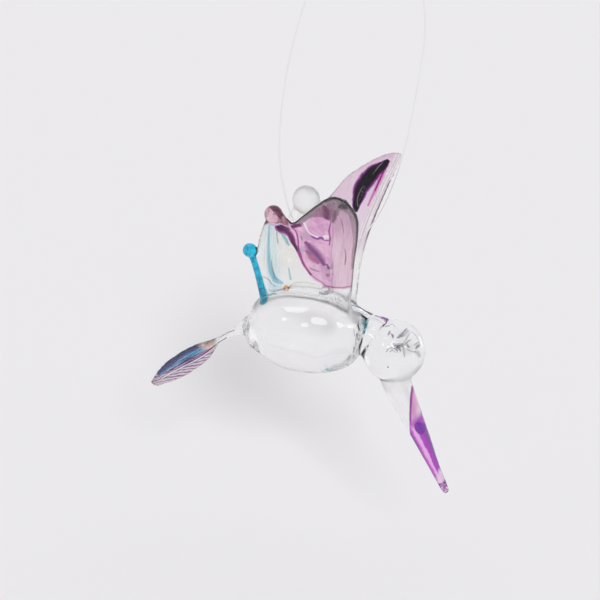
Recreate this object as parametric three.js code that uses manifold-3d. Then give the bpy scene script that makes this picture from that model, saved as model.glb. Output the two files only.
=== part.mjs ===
// A hand-blown glass hummingbird that hangs on a loop of clear nylon thread.
// Millimetres, +Z up, +X the way the bird faces. The origin is the hook that carries the thread.
import * as THREE from 'three';
import { mergeVertices } from 'three/addons/utils/BufferGeometryUtils.js';
import Module from 'manifold-3d';

const wasm = await Module();
wasm.setup();

// Driving dimensions. The bird is laid out about the middle of its body.
const BIRD_LENGTH = 106;
const WING_SPAN = 81;
const BIRD_HEIGHT = 104;
const BODY_HALF_HEIGHT = 14.5;
const BODY_HALF_WIDTH = 13.6;
const HEAD_RADIUS = 10.4;
const BEAK_ROOT_RADIUS = 5.0;
const BEAK_TIP_RADIUS = 1.25;
const STEM_RADIUS = 1.1;
const TAIL_HALF_WIDTH = 5.7;
const TAIL_HALF_THICKNESS = 1.15;
const TAIL_TWIST = THREE.MathUtils.degToRad(45);
const WING_HALF_THICKNESS = 1.0;
const WING_LEAD_EXTRA = 0.75;
const WING_RIB_EXTRA = 0.5;
const WING_RIM_ROUND = 0.7;
const NEAR_KNOB_RADIUS = 3.0;
const FAR_KNOB_RADIUS = 4.8;
const QUILL_BALL_RADIUS = 2.4;
const QUILL_STEM_RADIUS = 1.05;
const QUILL_ROOT_RADIUS = 1.9;

// The glass eye on the back, the thread's knot on it and the loop of thread.
const EYE_RING_RADIUS = 2.7;
const EYE_ROD_RADIUS = 1.15;
const EYE_SINK = 1.2;
const THREAD_DIAMETER = 0.45;
const CLEARANCE = 0.3;
const KNOT_RADIUS = 0.95;
const KNOT_HALF_LENGTH = 1.6;
const KNOT_TAIL_LENGTH = 3.2;
const HOOK_ABOVE_BODY = 134;

const EYE_AHEAD = 0.0585 * BIRD_LENGTH;
const THREAD_RADIUS = THREAD_DIAMETER / 2;
const EYE_CENTRE_HEIGHT = BODY_HALF_HEIGHT + EYE_RING_RADIUS + EYE_ROD_RADIUS - EYE_SINK;
const EYE_TOP_HEIGHT = EYE_CENTRE_HEIGHT + EYE_RING_RADIUS;
const BIGHT_RADIUS = EYE_ROD_RADIUS + CLEARANCE + THREAD_RADIUS;
const KNOT_HEIGHT = EYE_TOP_HEIGHT + BIGHT_RADIUS + KNOT_HALF_LENGTH * 0.7;

const CLEAR_GLASS = { color: 0xe6eaee, roughness: 0.04, metalness: 0 };
const NYLON = { color: 0xe2e4e8, roughness: 0.15, metalness: 0 };

const vector = (point) => new THREE.Vector3(...point);

// The free forms are laid out in hundredths of the bird's length, its wing span and its height.
function spot(x, y, z) {
  return [(x * BIRD_LENGTH) / 100, (y * WING_SPAN) / 100, (z * BIRD_HEIGHT) / 100];
}
const spots = (shares) => shares.map((share) => spot(...share));

// A closed geometry with merged corners, turned into a solid.
function solid(geometry) {
  const bare = geometry.index ? geometry.clone() : geometry;
  bare.deleteAttribute('normal');
  bare.deleteAttribute('uv');
  const merged = mergeVertices(bare, 1e-4);
  return new wasm.Manifold(new wasm.Mesh({
    numProp: 3,
    vertProperties: new Float32Array(merged.attributes.position.array),
    triVerts: new Uint32Array(merged.index.array),
  }));
}

// The triangles of a solid as a geometry.
function geometryOf(body) {
  const mesh = body.getMesh();
  const geometry = new THREE.BufferGeometry();
  geometry.setAttribute('position', new THREE.BufferAttribute(new Float32Array(mesh.vertProperties), 3));
  geometry.setIndex(new THREE.BufferAttribute(new Uint32Array(mesh.triVerts), 1));
  geometry.computeVertexNormals();
  return geometry;
}

// A round-ended rod of drawn glass. Each station is a point with a half width and a half depth,
// and `wide` is the direction across which the half width is laid.
function rod(stations, wide, sides, rings) {
  const path = new THREE.CatmullRomCurve3(stations.map((s) => vector(s.at)));
  const sizes = new THREE.CatmullRomCurve3(stations.map((s) => new THREE.Vector3(s.half[0], s.half[1], 0)));
  const corners = [];
  const addRing = (t, push, scale) => {
    const along = path.getTangent(t);
    const across = wide.clone().addScaledVector(along, -wide.dot(along)).normalize();
    const up = along.clone().cross(across);
    const size = sizes.getPoint(t).multiplyScalar(scale);
    const centre = path.getPoint(t).addScaledVector(along, push);
    for (let i = 0; i < sides; i++) {
      const angle = (2 * Math.PI * i) / sides;
      const corner = centre.clone().addScaledVector(across, size.x * Math.cos(angle));
      corners.push(corner.addScaledVector(up, size.y * Math.sin(angle)));
    }
  };
  const capAngles = [Math.PI / 3, Math.PI / 6];
  const startDepth = Math.min(...stations[0].half);
  const endDepth = Math.min(...stations[stations.length - 1].half);
  capAngles.forEach((a) => addRing(0, -startDepth * Math.sin(a), Math.cos(a)));
  for (let i = 0; i <= rings; i++) addRing(i / rings, 0, 1);
  [...capAngles].reverse().forEach((a) => addRing(1, endDepth * Math.sin(a), Math.cos(a)));
  const ringCount = rings + 1 + 2 * capAngles.length;
  const startPole = corners.length;
  corners.push(path.getPoint(0).addScaledVector(path.getTangent(0), -startDepth));
  corners.push(path.getPoint(1).addScaledVector(path.getTangent(1), endDepth));
  const faces = [];
  for (let i = 0; i < sides; i++) {
    const next = (i + 1) % sides;
    faces.push(startPole, next, i);
    const last = (ringCount - 1) * sides;
    faces.push(startPole + 1, last + i, last + next);
    for (let r = 0; r < ringCount - 1; r++) {
      const a = r * sides;
      const b = a + sides;
      faces.push(a + i, a + next, b + next, a + i, b + next, b + i);
    }
  }
  const geometry = new THREE.BufferGeometry();
  geometry.setAttribute('position', new THREE.Float32BufferAttribute(corners.flatMap((c) => c.toArray()), 3));
  geometry.setIndex(faces);
  return solid(geometry);
}

function ball(at, radii, wideSegments = 14, highSegments = 10) {
  const geometry = new THREE.SphereGeometry(1, wideSegments, highSegments);
  geometry.scale(...radii);
  geometry.translate(...at);
  return solid(geometry);
}

// The body, from the thin tail stem through the neck and into the head. `size` is its share of the
// fullest half height.
const STEM_SIZE = STEM_RADIUS / BODY_HALF_HEIGHT;
const BODY_STATIONS = [
  { at: spot(-32.1, 0, -12.1), size: STEM_SIZE },
  { at: spot(-28.9, 0, -9.4), size: STEM_SIZE },
  { at: spot(-24.4, 0, -6), size: 1.1 * STEM_SIZE },
  { at: spot(-21, 0, -4), size: 0.135 },
  { at: spot(-18.7, 0, -2.9), size: 0.27 },
  { at: spot(-16.2, 0, -2.6), size: 0.53 },
  { at: spot(-11.3, 0, -1.3), size: 0.82 },
  { at: spot(-4.7, 0, -0.4), size: 0.975 },
  { at: spot(1.9, 0, 0), size: 1 },
  { at: spot(8.5, 0, 0.6), size: 0.94 },
  { at: spot(12.6, 0, 1.1), size: 0.83 },
  { at: spot(16, 0, 1.7), size: 0.66 },
  { at: spot(18.3, 0, 1.9), size: 0.53 },
  { at: spot(20.4, 0, 1.7), size: 0.485 },
  { at: spot(22.6, 0, 1), size: 0.54 },
  { at: spot(25.5, 0, -0.6), size: 0.55 },
];

function body() {
  const stations = BODY_STATIONS.map(({ at, size }) => {
    const roundness = THREE.MathUtils.smoothstep(size, 0.1, 0.6);
    const halfWidth = THREE.MathUtils.lerp(BODY_HALF_HEIGHT, BODY_HALF_WIDTH, roundness) * size;
    return { at, half: [halfWidth, BODY_HALF_HEIGHT * size] };
  });
  return rod(stations, new THREE.Vector3(0, 1, 0), 26, 30);
}

function head() {
  return ball(spot(29.1, 0, -2.1), [HEAD_RADIUS, HEAD_RADIUS, HEAD_RADIUS], 24, 16);
}

// The long beak, drawn down and forward out of the head.
function beak() {
  const taper = (share) => THREE.MathUtils.lerp(BEAK_ROOT_RADIUS, BEAK_TIP_RADIUS, share);
  const station = (at, share) => ({ at, half: [taper(share), taper(share)] });
  const stations = [
    station(spot(28.9, 0, -7.7), 0),
    station(spot(31.1, 0, -12.3), 0.02),
    station(spot(35.5, 0, -20), 0.28),
    station(spot(40.3, 0, -28.1), 0.53),
    station(spot(45.7, 0, -37.5), 0.83),
    station(spot(50.4, 0, -45.2), 1),
  ];
  return rod(stations, new THREE.Vector3(0, 1, 0), 16, 14);
}

// The tail, a pressed paddle twisted so that its upper face turns to the bird's right. Each station
// is a share of its length, of its fullest half width and of its half thickness.
const TAIL_ROOT = spot(-28.9, 0, -9.4);
const TAIL_TIP = spot(-48.4, 0, -27.5);
const TAIL_STATIONS = [
  [-0.02, 0.2, 0.9],
  [0.06, 0.42, 0.95],
  [0.2, 0.8, 1],
  [0.38, 0.98, 1],
  [0.6, 1, 0.95],
  [0.8, 0.8, 0.85],
  [1, 0.36, 0.7],
];

function tail() {
  const root = vector(TAIL_ROOT);
  const back = vector(TAIL_TIP).sub(root);
  const upright = new THREE.Vector3(0, -1, 0).cross(back).normalize();
  const wide = new THREE.Vector3(0, Math.cos(TAIL_TWIST), 0).addScaledVector(upright, Math.sin(TAIL_TWIST));
  const stations = TAIL_STATIONS.map(([along, width, thickness]) => ({
    at: root.clone().addScaledVector(back, along).toArray(),
    half: [TAIL_HALF_WIDTH * width, TAIL_HALF_THICKNESS * thickness],
  }));
  return rod(stations, wide, 18, 14);
}

// One wing is a sheet of glass between four edges: the leading edge, the outer edge with its
// feather tips, the rear edge, and the root, which is buried in the body's back.
const NEAR_WING = {
  root: [[14.6, -5.7, 8.7], [4.7, -6.4, 9.8], [-4.7, -6.7, 9], [-12.7, -5.9, 6.2]],
  lead: [[14.6, -5.7, 8.7], [16.2, -16.8, 26.9], [18.5, -28.4, 38.2], [19.5, -38.9, 46.2], [17.6, -48.9, 52.2]],
  outer: [
    [17.6, -48.9, 52.2], [14.2, -47.5, 52.5], [11, -44.4, 50.9], [6.8, -38.3, 47.2],
    [2, -30.9, 42.5], [-2.3, -25.2, 38.8], [-5.5, -23, 39.8], [-8.6, -22, 40.2], [-11.2, -21, 38.5],
  ],
  rear: [[-12.7, -5.9, 6.2], [-14.5, -12.3, 22.1], [-14, -16, 29.2], [-11.2, -21, 38.5]],
};
const FAR_WING = {
  root: [[14.4, 5.7, 8.7], [4.7, 6.4, 9.8], [-4.7, 6.7, 9], [-12.7, 5.9, 6.2]],
  lead: [[14.4, 5.7, 8.7], [12.6, 16.7, 21.3], [12.8, 27.8, 31], [14.6, 38.9, 41.9], [17.2, 49.4, 53.1]],
  outer: [
    [17.2, 49.4, 53.1], [14.4, 48.1, 53.4], [10.5, 45.7, 51.9], [5.8, 41.5, 48.7],
    [1.2, 37, 44.4], [-2, 30.6, 39], [-3.8, 26.7, 37.3], [-8.1, 23, 39.4], [-11.3, 21.5, 36.5],
  ],
  rear: [[-12.7, 5.9, 6.2], [-14.5, 12.3, 20.2], [-14, 16, 27.3], [-11.3, 21.5, 36.5]],
};
const WING_COLUMNS = 23;
const WING_ROWS = 10;

// How much thicker the sheet is at its leading bar and along the two feathers' middles.
function wingHalfThickness(u, v) {
  const hump = (middle, spread) => Math.exp(-(((u - middle) / spread) ** 2));
  const ribs = WING_RIB_EXTRA * (hump(0.3, 0.13) + hump(0.84, 0.1));
  const thick = WING_HALF_THICKNESS + WING_LEAD_EXTRA * hump(0.03, 0.07) + ribs;
  return thick * THREE.MathUtils.lerp(1.15, 0.8, v);
}

function wing(edges) {
  const curves = {};
  for (const [name, points] of Object.entries(edges)) {
    curves[name] = new THREE.CatmullRomCurve3(spots(points).map(vector));
  }
  const at = (u, v) => {
    const point = curves.root.getPoint(u).multiplyScalar(1 - v);
    point.addScaledVector(curves.outer.getPoint(u), v);
    point.addScaledVector(curves.lead.getPoint(v), 1 - u);
    point.addScaledVector(curves.rear.getPoint(v), u);
    point.addScaledVector(curves.root.getPoint(0), -(1 - u) * (1 - v));
    point.addScaledVector(curves.outer.getPoint(0), -(1 - u) * v);
    point.addScaledVector(curves.root.getPoint(1), -u * (1 - v));
    return point.addScaledVector(curves.outer.getPoint(1), -u * v);
  };
  const step = 0.02;
  const slope = (u, v, du, dv) => {
    const [u1, u2] = [Math.min(u + du, 1), Math.max(u - du, 0)];
    const [v1, v2] = [Math.min(v + dv, 1), Math.max(v - dv, 0)];
    return at(u1, v1).sub(at(u2, v2)).normalize();
  };
  const geometry = new THREE.BoxGeometry(1, 1, 1, WING_COLUMNS, WING_ROWS, 2);
  geometry.deleteAttribute('normal');
  geometry.deleteAttribute('uv');
  const sheet = mergeVertices(geometry, 1e-4);
  const corners = sheet.attributes.position;
  for (let i = 0; i < corners.count; i++) {
    const u = corners.getX(i) + 0.5;
    const v = corners.getY(i) + 0.5;
    const side = 2 * corners.getZ(i);
    const alongU = slope(u, v, step, 0);
    const alongV = slope(u, v, 0, step);
    const normal = alongU.clone().cross(alongV).normalize();
    const onRim = u < 1e-4 || u > 1 - 1e-4 || v > 1 - 1e-4;
    const point = at(u, v).addScaledVector(normal, side * wingHalfThickness(u, v) * (onRim ? 0.55 : 1));
    if (Math.abs(side) < 0.5) {
      if (u < 1e-4) point.addScaledVector(alongU, -WING_RIM_ROUND);
      if (u > 1 - 1e-4) point.addScaledVector(alongU, WING_RIM_ROUND);
      if (v > 1 - 1e-4) point.addScaledVector(alongV, WING_RIM_ROUND);
    }
    corners.setXYZ(i, point.x, point.y, point.z);
  }
  return solid(sheet);
}

// The short turquoise quill behind each wing, a drawn rod that ends in a drop of glass.
const NEAR_QUILL = [[-11.9, -5.9, 6.3], [-13.4, -8.9, 13], [-14.9, -11.6, 19.2], [-16.9, -14.8, 26]];
const FAR_QUILL = [[-11.7, 5.9, 6.3], [-13.4, 8.6, 14.4], [-16, 13, 24], [-17, 17.3, 31.3]];

function quill(shares) {
  const points = spots(shares);
  const half = [QUILL_ROOT_RADIUS, QUILL_STEM_RADIUS * 1.15, QUILL_STEM_RADIUS, QUILL_STEM_RADIUS];
  const stations = points.map((at, i) => ({ at, half: [half[i], half[i]] }));
  const stem = rod(stations, new THREE.Vector3(0, 1, 0), 10, 8);
  const radii = [QUILL_BALL_RADIUS, QUILL_BALL_RADIUS, QUILL_BALL_RADIUS];
  return stem.add(ball(points[points.length - 1], radii, 12, 8));
}

// The ring of clear glass on the back, its hole facing forward, that the thread is tied to.
function eye() {
  const ring = new THREE.TorusGeometry(EYE_RING_RADIUS, EYE_ROD_RADIUS, 10, 18);
  ring.rotateY(Math.PI / 2);
  ring.translate(EYE_AHEAD, 0, EYE_CENTRE_HEIGHT);
  return solid(ring);
}

// The pink drop at the tip of the near wing's second feather and the clear one at the far wing's.
function knobs() {
  const near = ball(spot(-8.9, -22, 39.9), [NEAR_KNOB_RADIUS, NEAR_KNOB_RADIUS, NEAR_KNOB_RADIUS]);
  const far = ball(spot(-8.1, 22.5, 38.1), [FAR_KNOB_RADIUS, FAR_KNOB_RADIUS * 0.75, FAR_KNOB_RADIUS]);
  return near.add(far);
}

function glassBird() {
  return body()
    .add(head())
    .add(beak())
    .add(tail())
    .add(wing(NEAR_WING))
    .add(wing(FAR_WING))
    .add(quill(NEAR_QUILL))
    .add(quill(FAR_QUILL))
    .add(knobs())
    .add(eye());
}

// The knot on the eye: the bight of thread through the ring, the barrel of turns and two cut ends.
function threadKnot() {
  const bight = new THREE.TorusGeometry(BIGHT_RADIUS, THREAD_RADIUS, 8, 18);
  bight.rotateX(Math.PI / 2);
  bight.translate(EYE_AHEAD, 0, EYE_TOP_HEIGHT);
  const barrel = ball([EYE_AHEAD, 0, KNOT_HEIGHT], [KNOT_RADIUS, KNOT_RADIUS, KNOT_HALF_LENGTH], 12, 8);
  const cutEnd = (sideways) => {
    const end = vector([sideways * 0.5, -0.8, 0.35]).normalize().multiplyScalar(KNOT_TAIL_LENGTH);
    const start = vector([EYE_AHEAD, 0, KNOT_HEIGHT]);
    const stations = [0, 0.6, 1].map((share) => ({
      at: start.clone().addScaledVector(end, share).toArray(),
      half: [THREAD_RADIUS, THREAD_RADIUS],
    }));
    return rod(stations, new THREE.Vector3(0, 0, 1), 8, 2);
  };
  return solid(bight).add(barrel).add(cutEnd(1)).add(cutEnd(-1));
}

// The loop of thread, from the knot up the left strand, over the hook and down to the knot again.
const LOOP_LEFT = [
  [-2.3, 29.6], [-6.1, 34.4], [-8.9, 38.8], [-11.9, 46.8], [-13.5, 52.8], [-14.5, 60], [-14.9, 70],
  [-14.6, 80], [-13.8, 88], [-12.3, 98], [-10.2, 108], [-7.2, 117.5], [-3.2, 125.8], [1.2, 131.4],
];
const LOOP_RIGHT = [
  [11.7, 132.9], [17.2, 129], [22.2, 123.4], [26.4, 115.6], [28.8, 106.5], [29.3, 97], [28.8, 86], [28, 75],
  [26.7, 64], [24.6, 54], [21.4, 44], [17, 35.5], [12.4, 30],
];
const THREAD_STEPS = 60;

function threadLoop() {
  const leave = KNOT_HEIGHT + KNOT_HALF_LENGTH * 0.35;
  const reach = KNOT_RADIUS + CLEARANCE + THREAD_RADIUS + 0.35;
  const top = HOOK_ABOVE_BODY + THREAD_RADIUS;
  const route = [
    [EYE_AHEAD - reach, leave],
    ...LOOP_LEFT,
    [EYE_AHEAD, top],
    ...LOOP_RIGHT,
    [EYE_AHEAD + reach, leave],
  ].map(([x, z]) => new THREE.Vector3(x, 0, z));
  const section = new THREE.Shape();
  const sides = 8;
  for (let i = 0; i < sides; i++) {
    const angle = (2 * Math.PI * (i + 0.5)) / sides;
    const corner = [THREAD_RADIUS * Math.cos(angle), THREAD_RADIUS * Math.sin(angle)];
    if (i === 0) section.moveTo(...corner);
    else section.lineTo(...corner);
  }
  section.closePath();
  return new THREE.ExtrudeGeometry(section, {
    steps: THREAD_STEPS,
    extrudePath: new THREE.CatmullRomCurve3(route),
    bevelEnabled: false,
  });
}

function piece(name, geometry, finish) {
  const mesh = new THREE.Mesh(geometry, new THREE.MeshStandardMaterial(finish));
  mesh.name = name;
  return mesh;
}

const ornament = new THREE.Group();
const bird = new THREE.Group();
bird.position.set(-EYE_AHEAD, 0, -HOOK_ABOVE_BODY);
bird.add(piece('glass_bird', geometryOf(glassBird()), CLEAR_GLASS));
bird.add(piece('thread_knot', geometryOf(threadKnot()), NYLON));
bird.add(piece('thread_loop', threadLoop(), NYLON));
ornament.add(bird);

export default ornament;
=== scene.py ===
# %% [markdown]
# A blown glass hummingbird on a loop of clear thread. The lesson builds the bird as a glass worker
# does: simple hot forms are drawn out one by one, fused into a single piece, and tinted with
# coloured glass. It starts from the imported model, and every form is laid out in that model's frame.

# %% Load the frame
import math

import bpy
import numpy as np
from mathutils import Matrix, Vector
from mathutils.kdtree import KDTree


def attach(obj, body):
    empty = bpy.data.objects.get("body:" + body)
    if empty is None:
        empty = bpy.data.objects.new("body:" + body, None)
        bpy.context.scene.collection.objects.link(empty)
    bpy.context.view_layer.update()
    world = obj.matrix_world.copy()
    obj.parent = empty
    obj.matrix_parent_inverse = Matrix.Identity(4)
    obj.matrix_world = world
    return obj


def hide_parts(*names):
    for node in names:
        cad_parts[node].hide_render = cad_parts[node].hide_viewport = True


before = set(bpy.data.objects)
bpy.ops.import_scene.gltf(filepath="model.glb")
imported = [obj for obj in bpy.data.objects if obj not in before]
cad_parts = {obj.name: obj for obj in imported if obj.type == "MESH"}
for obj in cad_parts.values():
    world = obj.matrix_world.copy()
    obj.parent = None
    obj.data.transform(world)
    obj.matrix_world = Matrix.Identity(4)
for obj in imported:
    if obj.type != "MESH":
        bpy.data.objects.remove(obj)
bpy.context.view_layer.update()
MM = 0.001

# %% [markdown]
# The bird's free forms are laid out in hundredths of its length, wing span and height, from the
# middle of its body. The body hangs below the hook, which is the origin.

# %% The bird's own measure
BIRD_LENGTH = 106 * MM
WING_SPAN = 81 * MM
BIRD_HEIGHT = 104 * MM
HOOK_ABOVE_BODY = 134 * MM
EYE_AHEAD = 0.0585 * BIRD_LENGTH
BODY_CENTRE = np.array([-EYE_AHEAD, 0, -HOOK_ABOVE_BODY])
print("middle of the body in mm", np.round(BODY_CENTRE / MM, 1))


def spots(shares):
    """Points in hundredths of the bird's main sizes, as places in the frame."""
    main_sizes = np.array([BIRD_LENGTH, WING_SPAN, BIRD_HEIGHT]) / 100
    return BODY_CENTRE + np.atleast_2d(np.asarray(shares, float)) * main_sizes


# %% [markdown]
# The camera stands a little in front of the bird's right side and looks slightly down on it, as the
# photograph does. It is placed by the body's middle, which the photograph shows at a known pixel.

# %% Place the camera
AZIMUTH, ELEVATION, ROLL = math.radians(14.5), math.radians(16), math.radians(5.5)
CAMERA_DISTANCE = 560 * MM
PIXEL = MM / 3
IMAGE_CENTRE = 300
BODY_PIXEL = (305, 329)
SENSOR_WIDTH = 36

towards = Vector((
    math.sin(AZIMUTH) * math.cos(ELEVATION),
    -math.cos(AZIMUTH) * math.cos(ELEVATION),
    math.sin(ELEVATION),
))
level_right = Vector((math.cos(AZIMUTH), math.sin(AZIMUTH), 0))
level_up = towards.cross(level_right)
camera_up = math.cos(ROLL) * level_up - math.sin(ROLL) * level_right
camera_right = math.cos(ROLL) * level_right + math.sin(ROLL) * level_up
aim = Vector(BODY_CENTRE)
aim -= camera_right * (BODY_PIXEL[0] - IMAGE_CENTRE) * PIXEL
aim += camera_up * (BODY_PIXEL[1] - IMAGE_CENTRE) * PIXEL

bpy.ops.object.select_all(action="DESELECT")
bpy.ops.object.camera_add(location=aim + towards * CAMERA_DISTANCE)
camera = bpy.context.object
camera.rotation_euler = Matrix((camera_right, camera_up, towards)).transposed().to_euler()
camera.data.sensor_width = SENSOR_WIDTH
camera.data.lens = SENSOR_WIDTH * CAMERA_DISTANCE / (2 * IMAGE_CENTRE * PIXEL)
camera.data.clip_start = 0.01
bpy.context.scene.camera = camera
print("camera lens", round(camera.data.lens, 1))

# %% [markdown]
# Every drawn form follows a smooth curve through a few chosen points. This is the centripetal
# Catmull-Rom curve that the solids use, so the fine surface lies on them.

# %% A smooth curve through points
NO_GAP = 1e-6


def smooth_curve(points, t):
    """The places at shares t of a curve through the points."""
    points = np.asarray(points, float)
    t = np.atleast_1d(np.asarray(t, float))
    padded = np.vstack([2 * points[0] - points[1], points, 2 * points[-1] - points[-2]])
    spans = len(points) - 1
    span = np.clip((t * spans).astype(int), 0, spans - 1)
    s = (t * spans - span)[:, None]
    p0, p1, p2, p3 = (padded[span + k] for k in range(4))
    gaps = [np.sqrt(np.linalg.norm(b - a, axis=1))[:, None] for a, b in ((p0, p1), (p1, p2), (p2, p3))]
    middle = np.where(gaps[1] < NO_GAP, 1.0, gaps[1])
    before = np.where(gaps[0] < NO_GAP, middle, gaps[0])
    after = np.where(gaps[2] < NO_GAP, middle, gaps[2])
    leave = ((p1 - p0) / before - (p2 - p0) / (before + middle) + (p2 - p1) / middle) * middle
    arrive = ((p2 - p1) / middle - (p3 - p1) / (middle + after) + (p3 - p2) / after) * middle
    return (
        p1 + leave * s
        + (3 * (p2 - p1) - 2 * leave - arrive) * s**2
        + (2 * (p1 - p2) + leave + arrive) * s**3
    )


def unit(vectors):
    return vectors / np.linalg.norm(vectors, axis=-1, keepdims=True)


# %% [markdown]
# The thread is nylon monofilament. It is one free length that leaves its knot on the glass ring,
# climbs in a slack curve, passes over the hook and comes down to the knot again. The loop's points
# are in millimetres ahead of the body's middle and above it, and the curve between the two points
# beside the hook rises a little above the one on it, so that one is set lower by as much.

# %% The thread's sizes and places
THREAD_DIAMETER = 0.45 * MM
CLEARANCE = 0.3 * MM
EYE_RING_RADIUS = 2.7 * MM
EYE_ROD_RADIUS = 1.15 * MM
EYE_SINK = 1.2 * MM
BODY_HALF_HEIGHT = 14.5 * MM
BODY_HALF_WIDTH = 13.6 * MM
KNOT_RADIUS = 0.95 * MM
KNOT_HALF_LENGTH = 1.6 * MM
KNOT_TAIL_LENGTH = 3.2 * MM
KNOT_RISE, KNOT_LEAVE, KNOT_CORE = 0.7, 0.35, 0.8
RISE_OVER_HOOK = 0.08
ENDS_APART = 0.35
THREAD_RADIUS = THREAD_DIAMETER / 2
EYE_CENTRE_HEIGHT = BODY_HALF_HEIGHT + EYE_RING_RADIUS + EYE_ROD_RADIUS - EYE_SINK
EYE_TOP_HEIGHT = EYE_CENTRE_HEIGHT + EYE_RING_RADIUS
BIGHT_RADIUS = EYE_ROD_RADIUS + CLEARANCE + THREAD_RADIUS
KNOT_HEIGHT = EYE_TOP_HEIGHT + BIGHT_RADIUS + KNOT_HALF_LENGTH * KNOT_RISE
KNOT_CENTRE = BODY_CENTRE + np.array([EYE_AHEAD, 0, KNOT_HEIGHT])

LOOP_LEFT = [
    [-2.3, 29.6], [-6.1, 34.4], [-8.9, 38.8], [-11.9, 46.8], [-13.5, 52.8], [-14.5, 60], [-14.9, 70],
    [-14.6, 80], [-13.8, 88], [-12.3, 98], [-10.2, 108], [-7.2, 117.5], [-3.2, 125.8], [1.2, 131.4],
]
LOOP_RIGHT = [
    [11.7, 132.9], [17.2, 129], [22.2, 123.4], [26.4, 115.6], [28.8, 106.5], [29.3, 97], [28.8, 86],
    [28, 75], [26.7, 64], [24.6, 54], [21.4, 44], [17, 35.5], [12.4, 30],
]
leave = (KNOT_HEIGHT + KNOT_HALF_LENGTH * KNOT_LEAVE) / MM
reach = (KNOT_RADIUS + CLEARANCE + THREAD_RADIUS) / MM + ENDS_APART
ahead = EYE_AHEAD / MM
over_hook = (HOOK_ABOVE_BODY + THREAD_RADIUS) / MM - RISE_OVER_HOOK
route = np.array(
    [[ahead - reach, leave], *LOOP_LEFT, [ahead, over_hook], *LOOP_RIGHT, [ahead + reach, leave]]
)
route = BODY_CENTRE + np.column_stack([route[:, 0], np.zeros(len(route)), route[:, 1]]) * MM
THREAD_STEPS = 160
thread_line = smooth_curve(route, np.linspace(0, 1, THREAD_STEPS + 1))
THREAD_LENGTH = float(np.linalg.norm(np.diff(thread_line, axis=0), axis=1).sum())
print("thread length in mm", round(THREAD_LENGTH / MM, 1))

# %% [markdown]
# Shader maths is easier to read as sums than as nodes, so a small class wraps a socket and turns
# each sum into a Math node. Another holds a node tree and makes any other node in one call.


# %% Shader helpers
class Value:
    """A socket that can be added, multiplied and compared like a number."""

    def __init__(self, nodes, socket):
        self.nodes = nodes
        self.socket = socket

    def sum(self, operation, *values):
        node = self.nodes.node("ShaderNodeMath", {"operation": operation}, values)
        return Value(self.nodes, node.outputs[0])

    def __add__(self, other):
        return self.sum("ADD", self, other)

    def __radd__(self, other):
        return self.sum("ADD", other, self)

    def __sub__(self, other):
        return self.sum("SUBTRACT", self, other)

    def __rsub__(self, other):
        return self.sum("SUBTRACT", other, self)

    def __mul__(self, other):
        return self.sum("MULTIPLY", self, other)

    def __rmul__(self, other):
        return self.sum("MULTIPLY", other, self)

    def __abs__(self):
        return self.sum("ABSOLUTE", self)

    def step(self, low, high):
        """0 below low, 1 above high and smooth between; low may be the greater."""
        if low > high:
            return 1 - self.step(high, low)
        node = self.nodes.node("ShaderNodeMapRange", {"interpolation_type": "SMOOTHSTEP"}, (self, low, high))
        return Value(self.nodes, node.outputs[0])

    def wave(self):
        """A sine of the value, from 0 to 1."""
        return self.sum("SINE", self) * 0.5 + 0.5


class Nodes:
    """The nodes of one material or of the world."""

    def __init__(self, tree):
        self.tree = tree
        self.made = {}

    def node(self, kind, settings, inputs):
        """A node of a kind, with its settings and the values or links of its sockets."""
        node = self.tree.nodes.new(kind)
        for name, value in settings.items():
            setattr(node, name, value)
        pairs = inputs.items() if isinstance(inputs, dict) else enumerate(inputs)
        for key, value in pairs:
            self.feed(node.inputs[key], value)
        return node

    def feed(self, socket, value):
        if isinstance(value, Value):
            self.tree.links.new(value.socket, socket)
        else:
            socket.default_value = value

    def attribute(self, name):
        if name not in self.made:
            node = self.node("ShaderNodeAttribute", {"attribute_name": name}, {})
            self.made[name] = Value(self, node.outputs["Fac"])
        return self.made[name]

    def place(self):
        if "place" not in self.made:
            node = self.node("ShaderNodeTexCoord", {}, {})
            self.made["place"] = Value(self, node.outputs["Object"])
        return self.made["place"]

    def vector(self, x, y, z):
        return Value(self, self.node("ShaderNodeCombineXYZ", {}, (x, y, z)).outputs[0])

    def noise(self, scale, detail=2.0, distortion=0.0, at=None):
        inputs = {"Vector": at or self.place(), "Scale": scale, "Detail": detail, "Distortion": distortion}
        return Value(self, self.node("ShaderNodeTexNoise", {}, inputs).outputs["Fac"])

    def mix(self, factor, first, second):
        node = self.node("ShaderNodeMix", {"data_type": "RGBA"}, {0: factor, 6: first, 7: second})
        return Value(self, node.outputs[2])


class Finish(Nodes):
    """One material with a Principled shader."""

    def __init__(self, name, **plain):
        self.material = bpy.data.materials.new(name)
        self.material.use_nodes = True
        super().__init__(self.material.node_tree)
        self.tree.nodes.clear()
        self.shader = self.node("ShaderNodeBsdfPrincipled", {}, {})
        output = self.node("ShaderNodeOutputMaterial", {}, {})
        self.tree.links.new(self.shader.outputs[0], output.inputs[0])
        for socket, value in plain.items():
            self.set(socket.replace("_", " "), value)

    def set(self, socket, value):
        self.feed(self.shader.inputs[socket], value)

    def bump(self, height, strength, distance):
        inputs = {"Height": height, "Strength": strength, "Distance": distance}
        self.set("Normal", Value(self, self.node("ShaderNodeBump", {}, inputs).outputs[0]))


def dress(piece, finish, body="root"):
    """Gives a piece its material and the body that it rides on."""
    piece.data.materials.clear()
    piece.data.materials.append(finish.material)
    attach(piece, body)


# %% [markdown]
# Nylon thread is clear, but its skin is a little dull and uneven. A glassy finish of low index,
# with a fine change of roughness, shows it as a pale line that darkens only at its two edges.

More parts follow.
